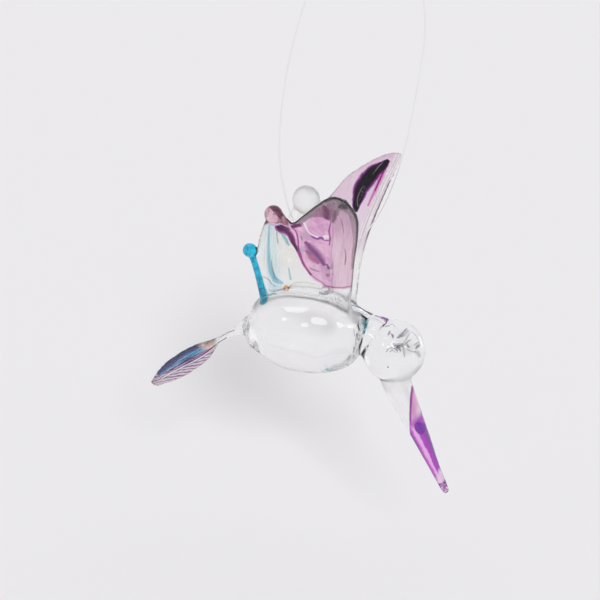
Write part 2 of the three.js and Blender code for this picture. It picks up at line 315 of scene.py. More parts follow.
# %% The thread's finish
NYLON_INDEX = 1.35
NYLON_GRAIN = 900.0
nylon = Finish(
    "nylon_thread", Base_Color=(0.95, 0.955, 0.965, 1), IOR=NYLON_INDEX, Transmission_Weight=1.0
)
nylon.set("Roughness", 0.08 + 0.12 * nylon.noise(NYLON_GRAIN))
print("thread finish of", len(nylon.tree.nodes), "nodes")

# %% [markdown]
# The thread is one open curve with a round section, so it keeps its true length and thickness. A
# curve is the natural tool for a cord: its points are the samples of the route, end to end.

# %% The thread itself
bpy.ops.curve.primitive_nurbs_path_add(enter_editmode=False)
thread = bpy.context.object
thread.name = "thread"
thread.location = (0, 0, 0)
thread.data.splines.clear()
spline = thread.data.splines.new("POLY")
spline.points.add(THREAD_STEPS)
spline.points.foreach_set("co", np.column_stack([thread_line, np.ones(THREAD_STEPS + 1)]).ravel())
thread.data.dimensions = "3D"
thread.data.bevel_depth = THREAD_RADIUS
thread.data.bevel_resolution = 3
thread.data.use_fill_caps = True
dress(thread, nylon)
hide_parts("thread_loop")
print("thread through", THREAD_STEPS + 1, "points")

# %% [markdown]
# Two shapes make most of the bird and its knot: the torus, for rings and turns, and the drawn rod. The
# rod starts as a sphere, whose rings are moved along a curve, so it has no open end and its faces
# point outwards. Its width and depth change along it, as in glass that is pulled while hot.

# %% Rings, rods and joining
CURVE_NUDGE = 1e-3


def add_torus(at, ring, rod_radius, turn, around=32, across=12):
    bpy.ops.mesh.primitive_torus_add(
        location=at, rotation=turn, major_radius=ring, minor_radius=rod_radius,
        major_segments=around, minor_segments=across,
    )
    bpy.ops.object.transform_apply(location=True, rotation=True, scale=True)
    return bpy.context.object


def join(pieces, name):
    bpy.ops.object.select_all(action="DESELECT")
    for piece in pieces:
        piece.select_set(True)
    bpy.context.view_layer.objects.active = pieces[0]
    if len(pieces) > 1:
        bpy.ops.object.join()
    pieces[0].name = name
    bpy.ops.object.select_all(action="DESELECT")
    return pieces[0]


def shade(piece):
    bpy.ops.object.select_all(action="DESELECT")
    piece.select_set(True)
    bpy.context.view_layer.objects.active = piece
    bpy.ops.object.shade_smooth()


def vertex_places(piece):
    """Where a piece's vertices lie, as rows of x, y and z."""
    places = np.empty(3 * len(piece.data.vertices))
    piece.data.vertices.foreach_get("co", places)
    return places.reshape(-1, 3)


def move_vertices(piece, places):
    piece.data.vertices.foreach_set("co", places.ravel())
    piece.data.update()


def drawn_rod(points, sizes, wide, around=32, rings=48, cap=0.1):
    """A round-ended rod: a sphere whose rings are moved along a curve, at half widths and depths."""
    bpy.ops.mesh.primitive_uv_sphere_add(segments=around, ring_count=rings, radius=1)
    made = bpy.context.object
    ball = vertex_places(made)
    polar = np.arccos(np.clip(-ball[:, 2], -1, 1)) / math.pi
    t = np.clip((polar - cap) / (1 - 2 * cap), 0, 1)
    at_start, at_end = polar < cap, polar > 1 - cap
    lift = np.where(at_start, 1 - polar / cap, np.where(at_end, 1 - (1 - polar) / cap, 0))
    lean = lift * math.pi / 2
    sizes = np.asarray(sizes, float)
    size = smooth_curve(sizes / MM, t) * MM
    ends = np.where(at_start, -sizes[0].min(), np.where(at_end, sizes[-1].min(), 0))
    further, nearer = np.minimum(t + CURVE_NUDGE, 1), np.maximum(t - CURVE_NUDGE, 0)
    along = unit(smooth_curve(points, further) - smooth_curve(points, nearer))
    wide = smooth_curve(wide, t) if np.ndim(wide) == 2 else np.asarray(wide, float) + 0 * along
    across = unit(wide - (along * wide).sum(axis=1)[:, None] * along)
    up = np.cross(along, across)
    turn = np.arctan2(ball[:, 1], ball[:, 0])
    place = smooth_curve(points, t) + along * (ends * np.sin(lean))[:, None]
    place += across * (size[:, 0] * np.cos(turn) * np.cos(lean))[:, None]
    place += up * (size[:, 1] * np.sin(turn) * np.cos(lean))[:, None]
    move_vertices(made, place)
    return made


# %% [markdown]
# The knot is a few turns of the same thread drawn tight, with a bight through the glass ring and
# two short cut ends. Each turn is a torus, a little tilted from its neighbour.

# %% The knot
KNOT_TURNS = 5
TURN_RADIUS = KNOT_RADIUS - THREAD_RADIUS
TURN_PITCH = 0.92
TURN_PRESSED = 1.05
turns = []
for count in range(KNOT_TURNS):
    rise = (count - (KNOT_TURNS - 1) / 2) * THREAD_DIAMETER * TURN_PITCH
    tilt = (0.16 * math.sin(2.1 * count), 0.12 * math.cos(1.7 * count), 0)
    turns.append(add_torus(KNOT_CENTRE + [0, 0, rise], TURN_RADIUS, THREAD_RADIUS * TURN_PRESSED, tilt))
core_end = [0, 0, KNOT_HALF_LENGTH * KNOT_CORE]
core_line = [KNOT_CENTRE - core_end, KNOT_CENTRE + core_end]
turns.append(drawn_rod(core_line, [[TURN_RADIUS, TURN_RADIUS]] * 2, (1, 0, 0)))
eye_top = BODY_CENTRE + [EYE_AHEAD, 0, EYE_TOP_HEIGHT]
turns.append(add_torus(eye_top, BIGHT_RADIUS, THREAD_RADIUS, (math.pi / 2, 0, 0), around=48))
for sideways in (1, -1):
    way = unit(np.array([sideways * 0.5, -0.8, 0.35])) * KNOT_TAIL_LENGTH
    bend = np.array([0, 0, -0.25 * MM])
    ends = [KNOT_CENTRE, KNOT_CENTRE + way * 0.6 + bend * 0.5, KNOT_CENTRE + way + bend]
    turns.append(drawn_rod(ends, [[THREAD_RADIUS, THREAD_RADIUS]] * 3, (0, 0, 1), around=12, rings=16))
knot = join(turns, "knot")
shade(knot)
dress(knot, nylon)
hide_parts("thread_knot")
print("knot of", len(turns), "joined turns and ends")

# %% [markdown]
# The bird's forms are made one by one. Body, beak, tail and quills are rods of hot glass drawn out
# along curves; the head and the drops are balls; the ring is a small torus. These are their sizes,
# the lines that they follow and, for the body and the tail, how wide they are at each point.

# %% Sizes and lines of the drawn forms
HEAD_RADIUS = 10.4 * MM
BEAK_ROOT_RADIUS = 5.0 * MM
BEAK_TIP_RADIUS = 1.25 * MM
STEM_RADIUS = 1.1 * MM
TAIL_HALF_WIDTH = 5.7 * MM
TAIL_HALF_THICKNESS = 1.15 * MM
TAIL_TWIST = math.radians(45)
QUILL_BALL_RADIUS = 2.4 * MM
QUILL_STEM_RADIUS = 1.05 * MM
QUILL_ROOT_RADIUS = 1.9 * MM
NEAR_KNOB_RADIUS = 3.0 * MM
FAR_KNOB_RADIUS = 4.8 * MM
FAR_KNOB_FLATNESS = 0.75

STEM_SIZE = STEM_RADIUS / BODY_HALF_HEIGHT
BODY_LINE = spots([
    [-32.1, 0, -12.1], [-28.9, 0, -9.4], [-24.4, 0, -6], [-21, 0, -4], [-18.7, 0, -2.9],
    [-16.2, 0, -2.6], [-11.3, 0, -1.3], [-4.7, 0, -0.4], [1.9, 0, 0], [8.5, 0, 0.6],
    [12.6, 0, 1.1], [16, 0, 1.7], [18.3, 0, 1.9], [20.4, 0, 1.7], [22.6, 0, 1], [25.5, 0, -0.6],
])
BODY_SIZES = np.array([
    STEM_SIZE, STEM_SIZE, 1.1 * STEM_SIZE, 0.135, 0.27, 0.53, 0.82, 0.975,
    1, 0.94, 0.83, 0.66, 0.53, 0.485, 0.54, 0.55,
])
BEAK_LINE = spots([
    [28.9, 0, -7.7], [31.1, 0, -12.3], [35.5, 0, -20], [40.3, 0, -28.1], [45.7, 0, -37.5], [50.4, 0, -45.2],
])
BEAK_SHARES = np.array([0, 0.02, 0.28, 0.53, 0.83, 1])
TAIL_ROOT, TAIL_TIP = spots([[-28.9, 0, -9.4], [-48.4, 0, -27.5]])
TAIL_STATIONS = np.array([
    [-0.02, 0.2, 0.9], [0.06, 0.42, 0.95], [0.2, 0.8, 1], [0.38, 0.98, 1],
    [0.6, 1, 0.95], [0.8, 0.8, 0.85], [1, 0.36, 0.7],
])
NEAR_QUILL = spots([[-11.9, -5.9, 6.3], [-13.4, -8.9, 13], [-14.9, -11.6, 19.2], [-16.9, -14.8, 26]])
FAR_QUILL = spots([[-11.7, 5.9, 6.3], [-13.4, 8.6, 14.4], [-16, 13, 24], [-17, 17.3, 31.3]])
HEAD_CENTRE = spots([29.1, 0, -2.1])[0]
NEAR_KNOB = spots([-8.9, -22, 39.9])[0]
FAR_KNOB = spots([-8.1, 22.5, 38.1])[0]
print("body through", len(BODY_LINE), "points, beak through", len(BEAK_LINE))

# %% [markdown]
# The body is slimmer across than it is high, but its thin stem to the tail is round. So its half
# widths go from the round rod's to the slimmer body's as it swells.


# %% Draw the forms
def add_ball(at, radii, around=48, rings=32):
    bpy.ops.mesh.primitive_uv_sphere_add(segments=around, ring_count=rings, radius=1, location=at)
    bpy.ops.transform.resize(value=tuple(radii))
    bpy.ops.object.transform_apply(location=True, rotation=True, scale=True)
    return bpy.context.object


swelling = np.clip((BODY_SIZES - 0.1) / 0.5, 0, 1)
swelling = swelling**2 * (3 - 2 * swelling)
half_widths = (BODY_HALF_HEIGHT + (BODY_HALF_WIDTH - BODY_HALF_HEIGHT) * swelling) * BODY_SIZES
forms = [drawn_rod(
    BODY_LINE, np.column_stack([half_widths, BODY_HALF_HEIGHT * BODY_SIZES]), (0, 1, 0), 96, 160, 0.02
)]
forms.append(add_ball(HEAD_CENTRE, [HEAD_RADIUS] * 3, 96, 64))
beak_radii = BEAK_ROOT_RADIUS + (BEAK_TIP_RADIUS - BEAK_ROOT_RADIUS) * BEAK_SHARES
forms.append(drawn_rod(BEAK_LINE, np.column_stack([beak_radii, beak_radii]), (0, 1, 0), 64, 96, 0.04))

tail_back = TAIL_TIP - TAIL_ROOT
tail_upright = unit(np.cross([0, -1, 0], tail_back))
tail_wide = np.array([0, math.cos(TAIL_TWIST), 0]) + tail_upright * math.sin(TAIL_TWIST)
tail_line = TAIL_ROOT + TAIL_STATIONS[:, :1] * tail_back
tail_sizes = TAIL_STATIONS[:, 1:] * [TAIL_HALF_WIDTH, TAIL_HALF_THICKNESS]
forms.append(drawn_rod(tail_line, tail_sizes, tail_wide, 64, 96, 0.05))

QUILL_SIZES = np.array([QUILL_ROOT_RADIUS, QUILL_STEM_RADIUS * 1.15, QUILL_STEM_RADIUS, QUILL_STEM_RADIUS])
for quill_line in (NEAR_QUILL, FAR_QUILL):
    forms.append(drawn_rod(quill_line, np.column_stack([QUILL_SIZES] * 2), (0, 1, 0)))
    forms.append(add_ball(quill_line[-1], [QUILL_BALL_RADIUS] * 3))
forms.append(add_ball(NEAR_KNOB, [NEAR_KNOB_RADIUS] * 3))
KNOB_SHOULDER = np.vstack([NEAR_KNOB, spots([[-6.6, -22.4, 39.3], [-4.6, -23.4, 38.4]])])
forms.append(drawn_rod(KNOB_SHOULDER, [[2.5 * MM] * 2, [1.7 * MM] * 2, [0.9 * MM] * 2], (0, 1, 0)))
forms.append(add_ball(FAR_KNOB, [FAR_KNOB_RADIUS, FAR_KNOB_RADIUS * FAR_KNOB_FLATNESS, FAR_KNOB_RADIUS]))
eye_centre = BODY_CENTRE + [EYE_AHEAD, 0, EYE_CENTRE_HEIGHT]
forms.append(add_torus(eye_centre, EYE_RING_RADIUS, EYE_ROD_RADIUS, (0, math.pi / 2, 0), 64, 24))
print(len(forms), "forms drawn")

# %% [markdown]
# A wing is a thin sheet of glass pulled out between four edges, which are curves through the points
# below. Its thickness hardly changes, because a steep change would trap light inside the sheet and
# show as a black band. It is only a little thicker at the leading bar and along two feathers.

# %% Edges and thickness of the wings
WING_HALF_THICKNESS = 0.78 * MM
WING_LEAD_EXTRA = 0.08 * MM
WING_RIB_EXTRA = 0.15 * MM
WING_RIM_ROUND = 0.4 * MM
WING_CUTS = 63
WING_LEAD = [0.03, 0.1]
WING_RIBS = [[0.3, 0.2], [0.84, 0.12]]
NEARLY_ONE = 0.999
NEAR_WING = {
    "root": [[14.6, -5.7, 8.7], [4.7, -6.4, 9.8], [-4.7, -6.7, 9], [-12.7, -5.9, 6.2]],
    "lead": [
        [14.6, -5.7, 8.7], [16.2, -16.8, 26.9], [18.5, -28.4, 38.2], [19.5, -38.9, 46.2], [17.6, -48.9, 52.2],
    ],
    "outer": [
        [17.6, -48.9, 52.2], [14.2, -47.5, 52.5], [11, -44.4, 50.9], [6.8, -38.3, 47.2], [2, -30.9, 42.5],
        [-2.3, -25.2, 38.8], [-5.5, -23, 39.8], [-8.6, -22, 40.2], [-11.2, -21, 38.5],
    ],
    "rear": [[-12.7, -5.9, 6.2], [-14.5, -12.3, 22.1], [-14, -16, 29.2], [-11.2, -21, 38.5]],
}
FAR_WING = {
    "root": [[14.4, 5.7, 8.7], [4.7, 6.4, 9.8], [-4.7, 6.7, 9], [-12.7, 5.9, 6.2]],
    "lead": [
        [14.4, 5.7, 8.7], [12.6, 16.7, 21.3], [12.8, 27.8, 31], [14.6, 38.9, 41.9], [17.2, 49.4, 53.1],
    ],
    "outer": [
        [17.2, 49.4, 53.1], [14.4, 48.1, 53.4], [10.5, 45.7, 51.9], [5.8, 41.5, 48.7], [1.2, 37, 44.4],
        [-2, 30.6, 39], [-3.8, 26.7, 37.3], [-8.1, 23, 39.4], [-11.3, 21.5, 36.5],
    ],
    "rear": [[-12.7, 5.9, 6.2], [-14.5, 12.3, 20.2], [-14, 16, 27.3], [-11.3, 21.5, 36.5]],
}


def sheet_places(edges, u, v):
    """Places on a wing's middle sheet, at u across from the leading edge and v out from the root."""
    curves = {name: spots(points) for name, points in edges.items()}
    root, outer = smooth_curve(curves["root"], u), smooth_curve(curves["outer"], u)
    lead, rear = smooth_curve(curves["lead"], v), smooth_curve(curves["rear"], v)
    u, v = u[:, None], v[:, None]
    corners = (1 - u) * (1 - v) * curves["root"][0] + (1 - u) * v * curves["outer"][0]
    corners = corners + u * (1 - v) * curves["root"][-1] + u * v * curves["outer"][-1]
    return (1 - v) * root + v * outer + (1 - u) * lead + u * rear - corners


def hump(share, middle, spread):
    return np.exp(-(((share - middle) / spread) ** 2))


def smooth_step(x, low, high):
    s = np.clip((x - low) / (high - low), 0, 1)
    return s * s * (3 - 2 * s)


def wing_half_thickness(u, v):
    ribs = WING_RIB_EXTRA * sum(hump(u, middle, spread) for middle, spread in WING_RIBS)
    thick = WING_HALF_THICKNESS + WING_LEAD_EXTRA * hump(u, *WING_LEAD) + ribs
    return thick * (1.1 - 0.5 * v) * (1 - 0.35 * u)


# %% [markdown]
# A cube cut into many small faces is the start of a wing: its width becomes the way across, its
# depth the way out to the tips, and its height the thickness. The sides bulge into a round rim.


# %% Wings
def add_wing(edges, step=0.01):
    bpy.ops.mesh.primitive_cube_add(size=2)
    made = bpy.context.object
    bpy.ops.object.mode_set(mode="EDIT")
    bpy.ops.mesh.select_all(action="SELECT")
    bpy.ops.mesh.subdivide(number_cuts=WING_CUTS)
    bpy.ops.object.mode_set(mode="OBJECT")
    cube = vertex_places(made)
    u, v, side = (cube[:, 0] + 1) / 2, (cube[:, 1] + 1) / 2, cube[:, 2]
    low_u, high_u = np.maximum(u - step, 0), np.minimum(u + step, 1)
    low_v, high_v = np.maximum(v - step, 0), np.minimum(v + step, 1)
    along_u = unit(sheet_places(edges, high_u, v) - sheet_places(edges, low_u, v))
    along_v = unit(sheet_places(edges, u, high_v) - sheet_places(edges, u, low_v))
    normal = unit(np.cross(along_u, along_v))
    lean = side * math.pi / 2
    on_rim = np.abs(side) < NEARLY_ONE
    out = np.where(on_rim, np.cos(lean), 0) * WING_RIM_ROUND
    place = sheet_places(edges, u, v)
    place += normal * (np.sin(lean) * wing_half_thickness(u, v))[:, None]
    place += along_u * (out * ((u > NEARLY_ONE).astype(float) - (u < 1 - NEARLY_ONE)))[:, None]
    place += along_v * (out * (v > NEARLY_ONE))[:, None]
    move_vertices(made, place)
    return made


forms += [add_wing(NEAR_WING), add_wing(FAR_WING)]
print("two wings of", len(forms[-1].data.polygons), "faces each")

# %% [markdown]
# Fusing comes next. The forms overlap, so they are joined, and a voxel remesh melts them into one
# closed skin. A few rounds of smoothing then round the inner corners, as the flame does.

# %% Fuse the glass
FUSE_VOXEL = 0.43 * MM
FLAME_ROUNDS = 8
bird = join(forms, "glass_hummingbird")
bpy.context.view_layer.objects.active = bird
bird.select_set(True)
fuse = bird.modifiers.new("fuse", "REMESH")
fuse.mode = "VOXEL"
fuse.voxel_size = FUSE_VOXEL
bpy.ops.object.modifier_apply(modifier="fuse")
flame = bird.modifiers.new("flame", "SMOOTH")
flame.factor = 0.5
flame.iterations = FLAME_ROUNDS
bpy.ops.object.modifier_apply(modifier="flame")
bpy.ops.object.shade_smooth()
print("fused skin of", len(bird.data.vertices), "vertices")

# %% [markdown]
# The wings are welded to the body and the beak to the head, and there the worker holds the flame
# longest. So the skin near those three joints is smoothed many times more, by a vertex group that
# fades with distance. Without it a sharp crease would show as a black line in the clear glass.

# %% Melt the joints
MELT_ROUNDS = 60
JOINT_REACH = 7 * MM
JOINT_SAMPLES = 60
BEAK_COLLAR_RADIUS = 4.6 * MM
BEAK_COLLAR_DROP = 9.3 * MM
joint_shares = np.linspace(0, 1, JOINT_SAMPLES)
joint_lines = [smooth_curve(spots(edges["root"]), joint_shares) for edges in (NEAR_WING, FAR_WING)]
beak_out = unit(BEAK_LINE[3] - BEAK_LINE[1])
beak_over = np.cross([0, 1, 0], beak_out)
round_beak = np.linspace(0, 2 * math.pi, JOINT_SAMPLES)[:, None]
collar = BEAK_COLLAR_RADIUS * (np.cos(round_beak) * beak_over + np.sin(round_beak) * np.array([0, 1, 0]))
joint_lines.append(HEAD_CENTRE + beak_out * BEAK_COLLAR_DROP + collar)
joint_tree = KDTree(len(np.vstack(joint_lines)))
for index, spot in enumerate(np.vstack(joint_lines)):
    joint_tree.insert(spot, index)
joint_tree.balance()
from_joint = np.array([joint_tree.find(point)[2] for point in vertex_places(bird)])
joints = bird.vertex_groups.new(name="joints")
for index in np.flatnonzero(from_joint < JOINT_REACH):
    joints.add([int(index)], 1 - from_joint[index] / JOINT_REACH, "REPLACE")
melt = bird.modifiers.new("melt", "SMOOTH")
melt.factor = 0.5
melt.iterations = MELT_ROUNDS
melt.vertex_group = "joints"
bpy.ops.object.modifier_apply(modifier="melt")
print("fused glass", sum(len(face.vertices) - 2 for face in bird.data.polygons), "triangles")

# %% [markdown]
# Coloured glass lies on the clear in places that follow the feathers. For each point of the skin
# the lesson works out how far across and out along its wing it lies, and how far it is in
# millimetres from the lines that bound each colour. The finish turns those numbers into tints.

# %% Read the points of the glass
places = vertex_places(bird)


def nearest(samples, facts):
    """For every point of the glass, the distance to the nearest sample and that sample's facts."""
    tree = KDTree(len(samples))
    for index, sample in enumerate(samples):
        tree.insert(sample, index)
    tree.balance()
    found = [tree.find(place) for place in places]
    order = np.array([hit[1] for hit in found])
    return np.array([hit[2] for hit in found]), facts[order]


def along_line(line, samples=200):
    """How far along a line each point of the glass lies, from 0 to 1, and its distance from it."""
    t = np.linspace(0, 1, samples)
    distance, share = nearest(smooth_curve(line, t), t[:, None])
    return share[:, 0], distance


GRID = 200
SHEET_REACH = (2.4 * MM, 3.2 * MM)
grid_u, grid_v = (g.ravel() for g in np.meshgrid(np.linspace(0, 1, GRID), np.linspace(0, 1, GRID)))
sheets = [sheet_places(edges, grid_u, grid_v) for edges in (NEAR_WING, FAR_WING)]
facts = np.column_stack([np.tile(grid_u, 2), np.tile(grid_v, 2), np.repeat([0.0, 1.0], len(grid_u))])
wing_distance, wing_facts = nearest(np.vstack(sheets), facts)
sheet_u, sheet_v, is_far = wing_facts.T
on_wing = 1 - smooth_step(wing_distance, *SHEET_REACH)
on_near, on_far = on_wing * (1 - is_far), on_wing * is_far
print(int((on_wing > 0.5).sum()), "of", len(places), "points lie on the wings")

# %% [markdown]
# The bounds of the colours are curves drawn on the wing sheets, given as shares across and out. Two
# narrow arcs stay clear where a tool scraped the tint away.

# %% Colour bounds on the wings
LILAC_BOUND = [
    [0, 0.135], [0.09, 0.122], [0.185, 0.112], [0.26, 0.115], [0.3, 0.13], [0.37, 0.152], [0.42, 0.18],
    [0.485, 0.245], [0.53, 0.335], [0.565, 0.44], [0.61, 0.605], [0.66, 0.77], [0.72, 0.805], [0.787, 0.805],
    [0.86, 0.85], [1, 0.9],
]
FOLD_LINE = [[0.24, 0.675], [0.23, 0.6], [0.225, 0.503], [0.217, 0.348], [0.188, 0.228], [0.18, 0.11]]
DOME_LINE = [
    [0.64, 0.998], [0.568, 0.978], [0.512, 0.858], [0.475, 0.895], [0.422, 0.893], [0.31, 0.787],
    [0.24, 0.675], [0.182, 0.75], [0.122, 0.838], [0.068, 0.8], [0.062, 0.667], [0.033, 0.505],
    [0.028, 0.37], [0.013, 0.233],
]


def on_sheet(edges, line, steps=120):
    """Places of a line drawn on a wing's middle sheet."""
    shares = smooth_curve(line, np.linspace(0, 1, steps))
    return sheet_places(edges, shares[:, 0], shares[:, 1])


def line_distance(edges, line):
    """Each point's distance in mm from a line on a wing, and how far along it the nearest place is."""
    drawn = on_sheet(edges, line)
    distance, share = nearest(drawn, np.linspace(0, 1, len(drawn))[:, None])
    height = np.minimum(distance, wing_distance)
    return np.sqrt(distance**2 - height**2) / MM, share[:, 0]


def signed_distance(edges, line, inside):
    return np.where(inside, 1, -1) * line_distance(edges, line)[0]


lilac_bound, fold_line, dome_line = (np.array(line) for line in (LILAC_BOUND, FOLD_LINE, DOME_LINE))
inside_lilac = sheet_v > np.interp(sheet_u, lilac_bound[:, 0], lilac_bound[:, 1])
behind_fold = sheet_u > np.interp(sheet_v, fold_line[::-1, 1], fold_line[::-1, 0])
in_dome = (sheet_v > np.interp(sheet_u, dome_line[::-1, 0], dome_line[::-1, 1])) & (sheet_u < dome_line[0, 0])
lilac_field = signed_distance(NEAR_WING, LILAC_BOUND, inside_lilac)
fold_field = signed_distance(NEAR_WING, FOLD_LINE, behind_fold)
dome_field = signed_distance(NEAR_WING, DOME_LINE, in_dome)
LIGHT_ARC = [[0.49, 0.878], [0.475, 0.755], [0.432, 0.635], [0.375, 0.552]]
LIGHT_BIT = [[0.35, 0.54], [0.31, 0.515], [0.283, 0.52]]
LIGHT_BIT_EXTRA = 0.35
arc_distance = line_distance(NEAR_WING, LIGHT_ARC)[0]
bit_distance = line_distance(NEAR_WING, LIGHT_BIT)[0]
light_line = np.minimum(arc_distance, bit_distance - LIGHT_BIT_EXTRA)
print("colour bounds of", len(LILAC_BOUND) + len(FOLD_LINE) + len(DOME_LINE), "points")

# %% [markdown]
# The tint lies on one face of each wing sheet only, so every point of the skin also needs to know
# how far it is from the middle of the sheet, towards the near side of the bird.


# %% The two faces of a wing
def sheet_normal(edges, u, v, step=0.02):
    """The direction square to a wing's sheet, on the side that faces the near side of the bird."""
    u, v = np.clip(np.atleast_1d(u), step, 1 - step), np.clip(np.atleast_1d(v), step, 1 - step)
    across = sheet_places(edges, u + step, v) - sheet_places(edges, u - step, v)
    outward = sheet_places(edges, u, v + step) - sheet_places(edges, u, v - step)
    normal = unit(np.cross(across, outward))
    return normal * -np.sign(normal[:, 1:2])


skin = np.zeros(len(places))
for edges, here in ((NEAR_WING, is_far < 0.5), (FAR_WING, is_far > 0.5)):
    middle = sheet_places(edges, sheet_u[here], sheet_v[here])
    towards_near = sheet_normal(edges, sheet_u[here], sheet_v[here])
    skin[here] = ((places[here] - middle) * towards_near).sum(axis=1) / MM
print("wing skin reaches", round(float(skin[on_wing > 0.5].max()), 2), "mm from the middle sheet")

# %% [markdown]
# The quills, the beak and the tail have colours that run along them. Their points get the share of
# the way along, how far to one side they lie, and which of the two faces they are on. The knobs get
# plain distances, because their colour lies in rings round them.

# %% Places along the beak, the tail and the quills
near_quill_share, near_quill_distance = along_line(NEAR_QUILL)
far_quill_share, far_quill_distance = along_line(FAR_QUILL)


def above_quill(quill_line, share, distance):
    """How far a point lies above the skin of a quill or of the ball at its end."""
    stem = distance - np.interp(share, np.linspace(0, 1, len(QUILL_SIZES)), QUILL_SIZES)
    ball = np.linalg.norm(places - quill_line[-1], axis=1) - QUILL_BALL_RADIUS
    return np.minimum(stem, ball) / MM


above_near = above_quill(NEAR_QUILL, near_quill_share, near_quill_distance)
above_far = above_quill(FAR_QUILL, far_quill_share, far_quill_distance)
along_beak, beak_distance = along_line(BEAK_LINE)
from_body = places - BODY_CENTRE
BLOB_SHARE = 0.55
BLOB_SIDE = 1.7 * MM
BLOB_HALF_WIDTH, BLOB_HALF_LENGTH = 1.6, 2.3
BEAK_EDGE_AHEAD = 36.9 * MM
BEAK_EDGE_SLOPE = 0.0962
beak_edge = from_body[:, 0] - (BEAK_EDGE_AHEAD - BEAK_EDGE_SLOPE * from_body[:, 2])
beak_way = unit(BEAK_LINE[-1] - BEAK_LINE[0])
beak_right = np.cross([0, 1, 0], beak_way) * -1
beak_middle = smooth_curve(BEAK_LINE, along_beak)
beak_width = BEAK_ROOT_RADIUS + (BEAK_TIP_RADIUS - BEAK_ROOT_RADIUS) * along_beak
beak_side = ((places - beak_middle) @ beak_right) / beak_width
blob_offset = places - smooth_curve(BEAK_LINE, BLOB_SHARE)
blob_right = ((blob_offset @ beak_right) - BLOB_SIDE) / BLOB_HALF_WIDTH
blob = np.hypot(blob_right, (blob_offset @ beak_way) / BLOB_HALF_LENGTH) / MM
beak_skin = -(places - beak_middle)[:, 1] / MM
tail_offset = places - TAIL_ROOT
tail_share = tail_offset @ tail_back / (tail_back @ tail_back)
tail_spread = np.interp(tail_share, TAIL_STATIONS[:, 0], TAIL_STATIONS[:, 1])
tail_across = tail_offset @ unit(tail_wide) / (TAIL_HALF_WIDTH * tail_spread)
TAIL_START = -29 * MM
on_tail = (tail_share > -0.08) & (from_body[:, 0] < TAIL_START)
tail_normal = unit(np.cross(tail_back, tail_wide))
tail_normal = tail_normal * -np.sign(tail_normal[1])
tail_skin = tail_offset @ tail_normal / MM
# The way across the near knob along which its painted shade darkens.
knob_shade_way = unit(np.array(camera_right) * 0.75 + np.array(camera_up) * 0.66)
across_knob_shade = (places - NEAR_KNOB) @ knob_shade_way / MM
from_far_knob = np.linalg.norm(places - FAR_KNOB, axis=1) / MM
print(int((beak_distance < BEAK_ROOT_RADIUS).sum()), "points of the beak,", int(on_tail.sum()), "of the tail")

# %% [markdown]
# Tools leave small dents where the worker held or pressed the glass. Each place below has its centre
# in millimetres from the body's middle, its radius and its strength.

# %% Tooled places and the fields of the glass
TOOLED = [
    [[17.5, 0, 3], 4.0, 0.4], [[36, 2, 2.5], 4.0, 0.3], [[10, -5, 11], 5.5, 0.5],
    [[-24, 0, -6], 6.0, 0.5], [[53, 0, -46.5], 3.0, 1.0], [[30, 0, -13], 3.0, 0.5],
]
tooled = np.zeros(len(places))
for centre, radius, strength in TOOLED:
    away = np.linalg.norm(from_body / MM - centre, axis=1)
    tooled = np.maximum(tooled, strength * (1 - smooth_step(away, 0.4 * radius, radius)))

FAR_AWAY = 20.0
BEAK_REACH = 6 * MM
fields = {
    "near": on_near, "far": on_far, "wing_u": sheet_u, "wing_v": sheet_v, "skin": skin,
    "lilac": lilac_field, "fold": fold_field, "dome": dome_field, "light_line": light_line,
    "quill": np.minimum(above_near, above_far),
    "quill_share": np.where(above_near < above_far, near_quill_share, far_quill_share),
    "knob": np.linalg.norm(places - NEAR_KNOB, axis=1) / MM, "knob_side": across_knob_shade,
    "far_knob": from_far_knob,
    "beak": np.where(beak_distance < BEAK_REACH, beak_edge / MM, -FAR_AWAY), "beak_share": along_beak,
    "beak_side": beak_side, "beak_skin": beak_skin, "blob": blob, "tail": on_tail.astype(float),
    "tail_share": tail_share, "tail_across": tail_across, "tail_skin": tail_skin,
    "tooled": tooled, "joint": from_joint / MM,
}
for name, values in fields.items():
    layer = bird.data.attributes.new(name, "FLOAT", "POINT")
    layer.data.foreach_set("value", np.clip(values, -FAR_AWAY, FAR_AWAY).astype(np.float32))
print(len(fields), "fields on the glass")

# %% [markdown]
# The glass finish starts clear and lays one tint over another, each where its mask is 1. Light takes
# the skin's colour each time it goes in or out, so a tint on both faces would count twice. The
# worker's colour lies on one face, so here the other face stays clear, and a tint is given as the
# colour that is seen through it. Noise makes the colours run and pool, and streaks follow the feathers.

# %% The glass and what its tints follow
GLASS_INDEX = 1.47
FINE_GRAIN, BROAD_GRAIN = 700.0, 220.0
glass = Finish("tinted_glass", IOR=GLASS_INDEX, Transmission_Weight=1.0)
near, far = glass.attribute("near"), glass.attribute("far")
wing_u, wing_v = glass.attribute("wing_u"), glass.attribute("wing_v")
fine = glass.noise(FINE_GRAIN, 3.0) - 0.5
broad = glass.noise(BROAD_GRAIN, 2.0, 0.6) - 0.5
feather_way = glass.vector(wing_u * 60.0, wing_v * 4.0, far * 9.0)
streaks = glass.noise(1.0, 3.0, 0.3, at=feather_way) - 0.5
painted = glass.attribute("skin").step(-0.1, 0.1)


def on_one_face(*seen):
    """The base colour of a tint that lies on one face only, from the colour that is seen through it."""
    return tuple(share**2 for share in seen) + (1,)


def stain(base, mask, *seen):
    """A base with one more tint laid over it where the mask is 1, as the colour seen through it."""
    return glass.mix(mask, base, on_one_face(*seen))


# %% [markdown]
# The far wing is pale lilac with fine streaks, which stop at a clear feather, and its leading bar
# is paler, with two dark lines of painted shade where the clear bar shows dark refraction lines.

# %% The clear glass and the far wing
CLEAR = (0.975, 0.98, 0.985, 1)
uneven_u = wing_u + broad * 0.1
sheet = glass.mix(wing_v.step(0.1, 0.3) * 0.7, CLEAR, on_one_face(0.95, 0.94, 0.9))

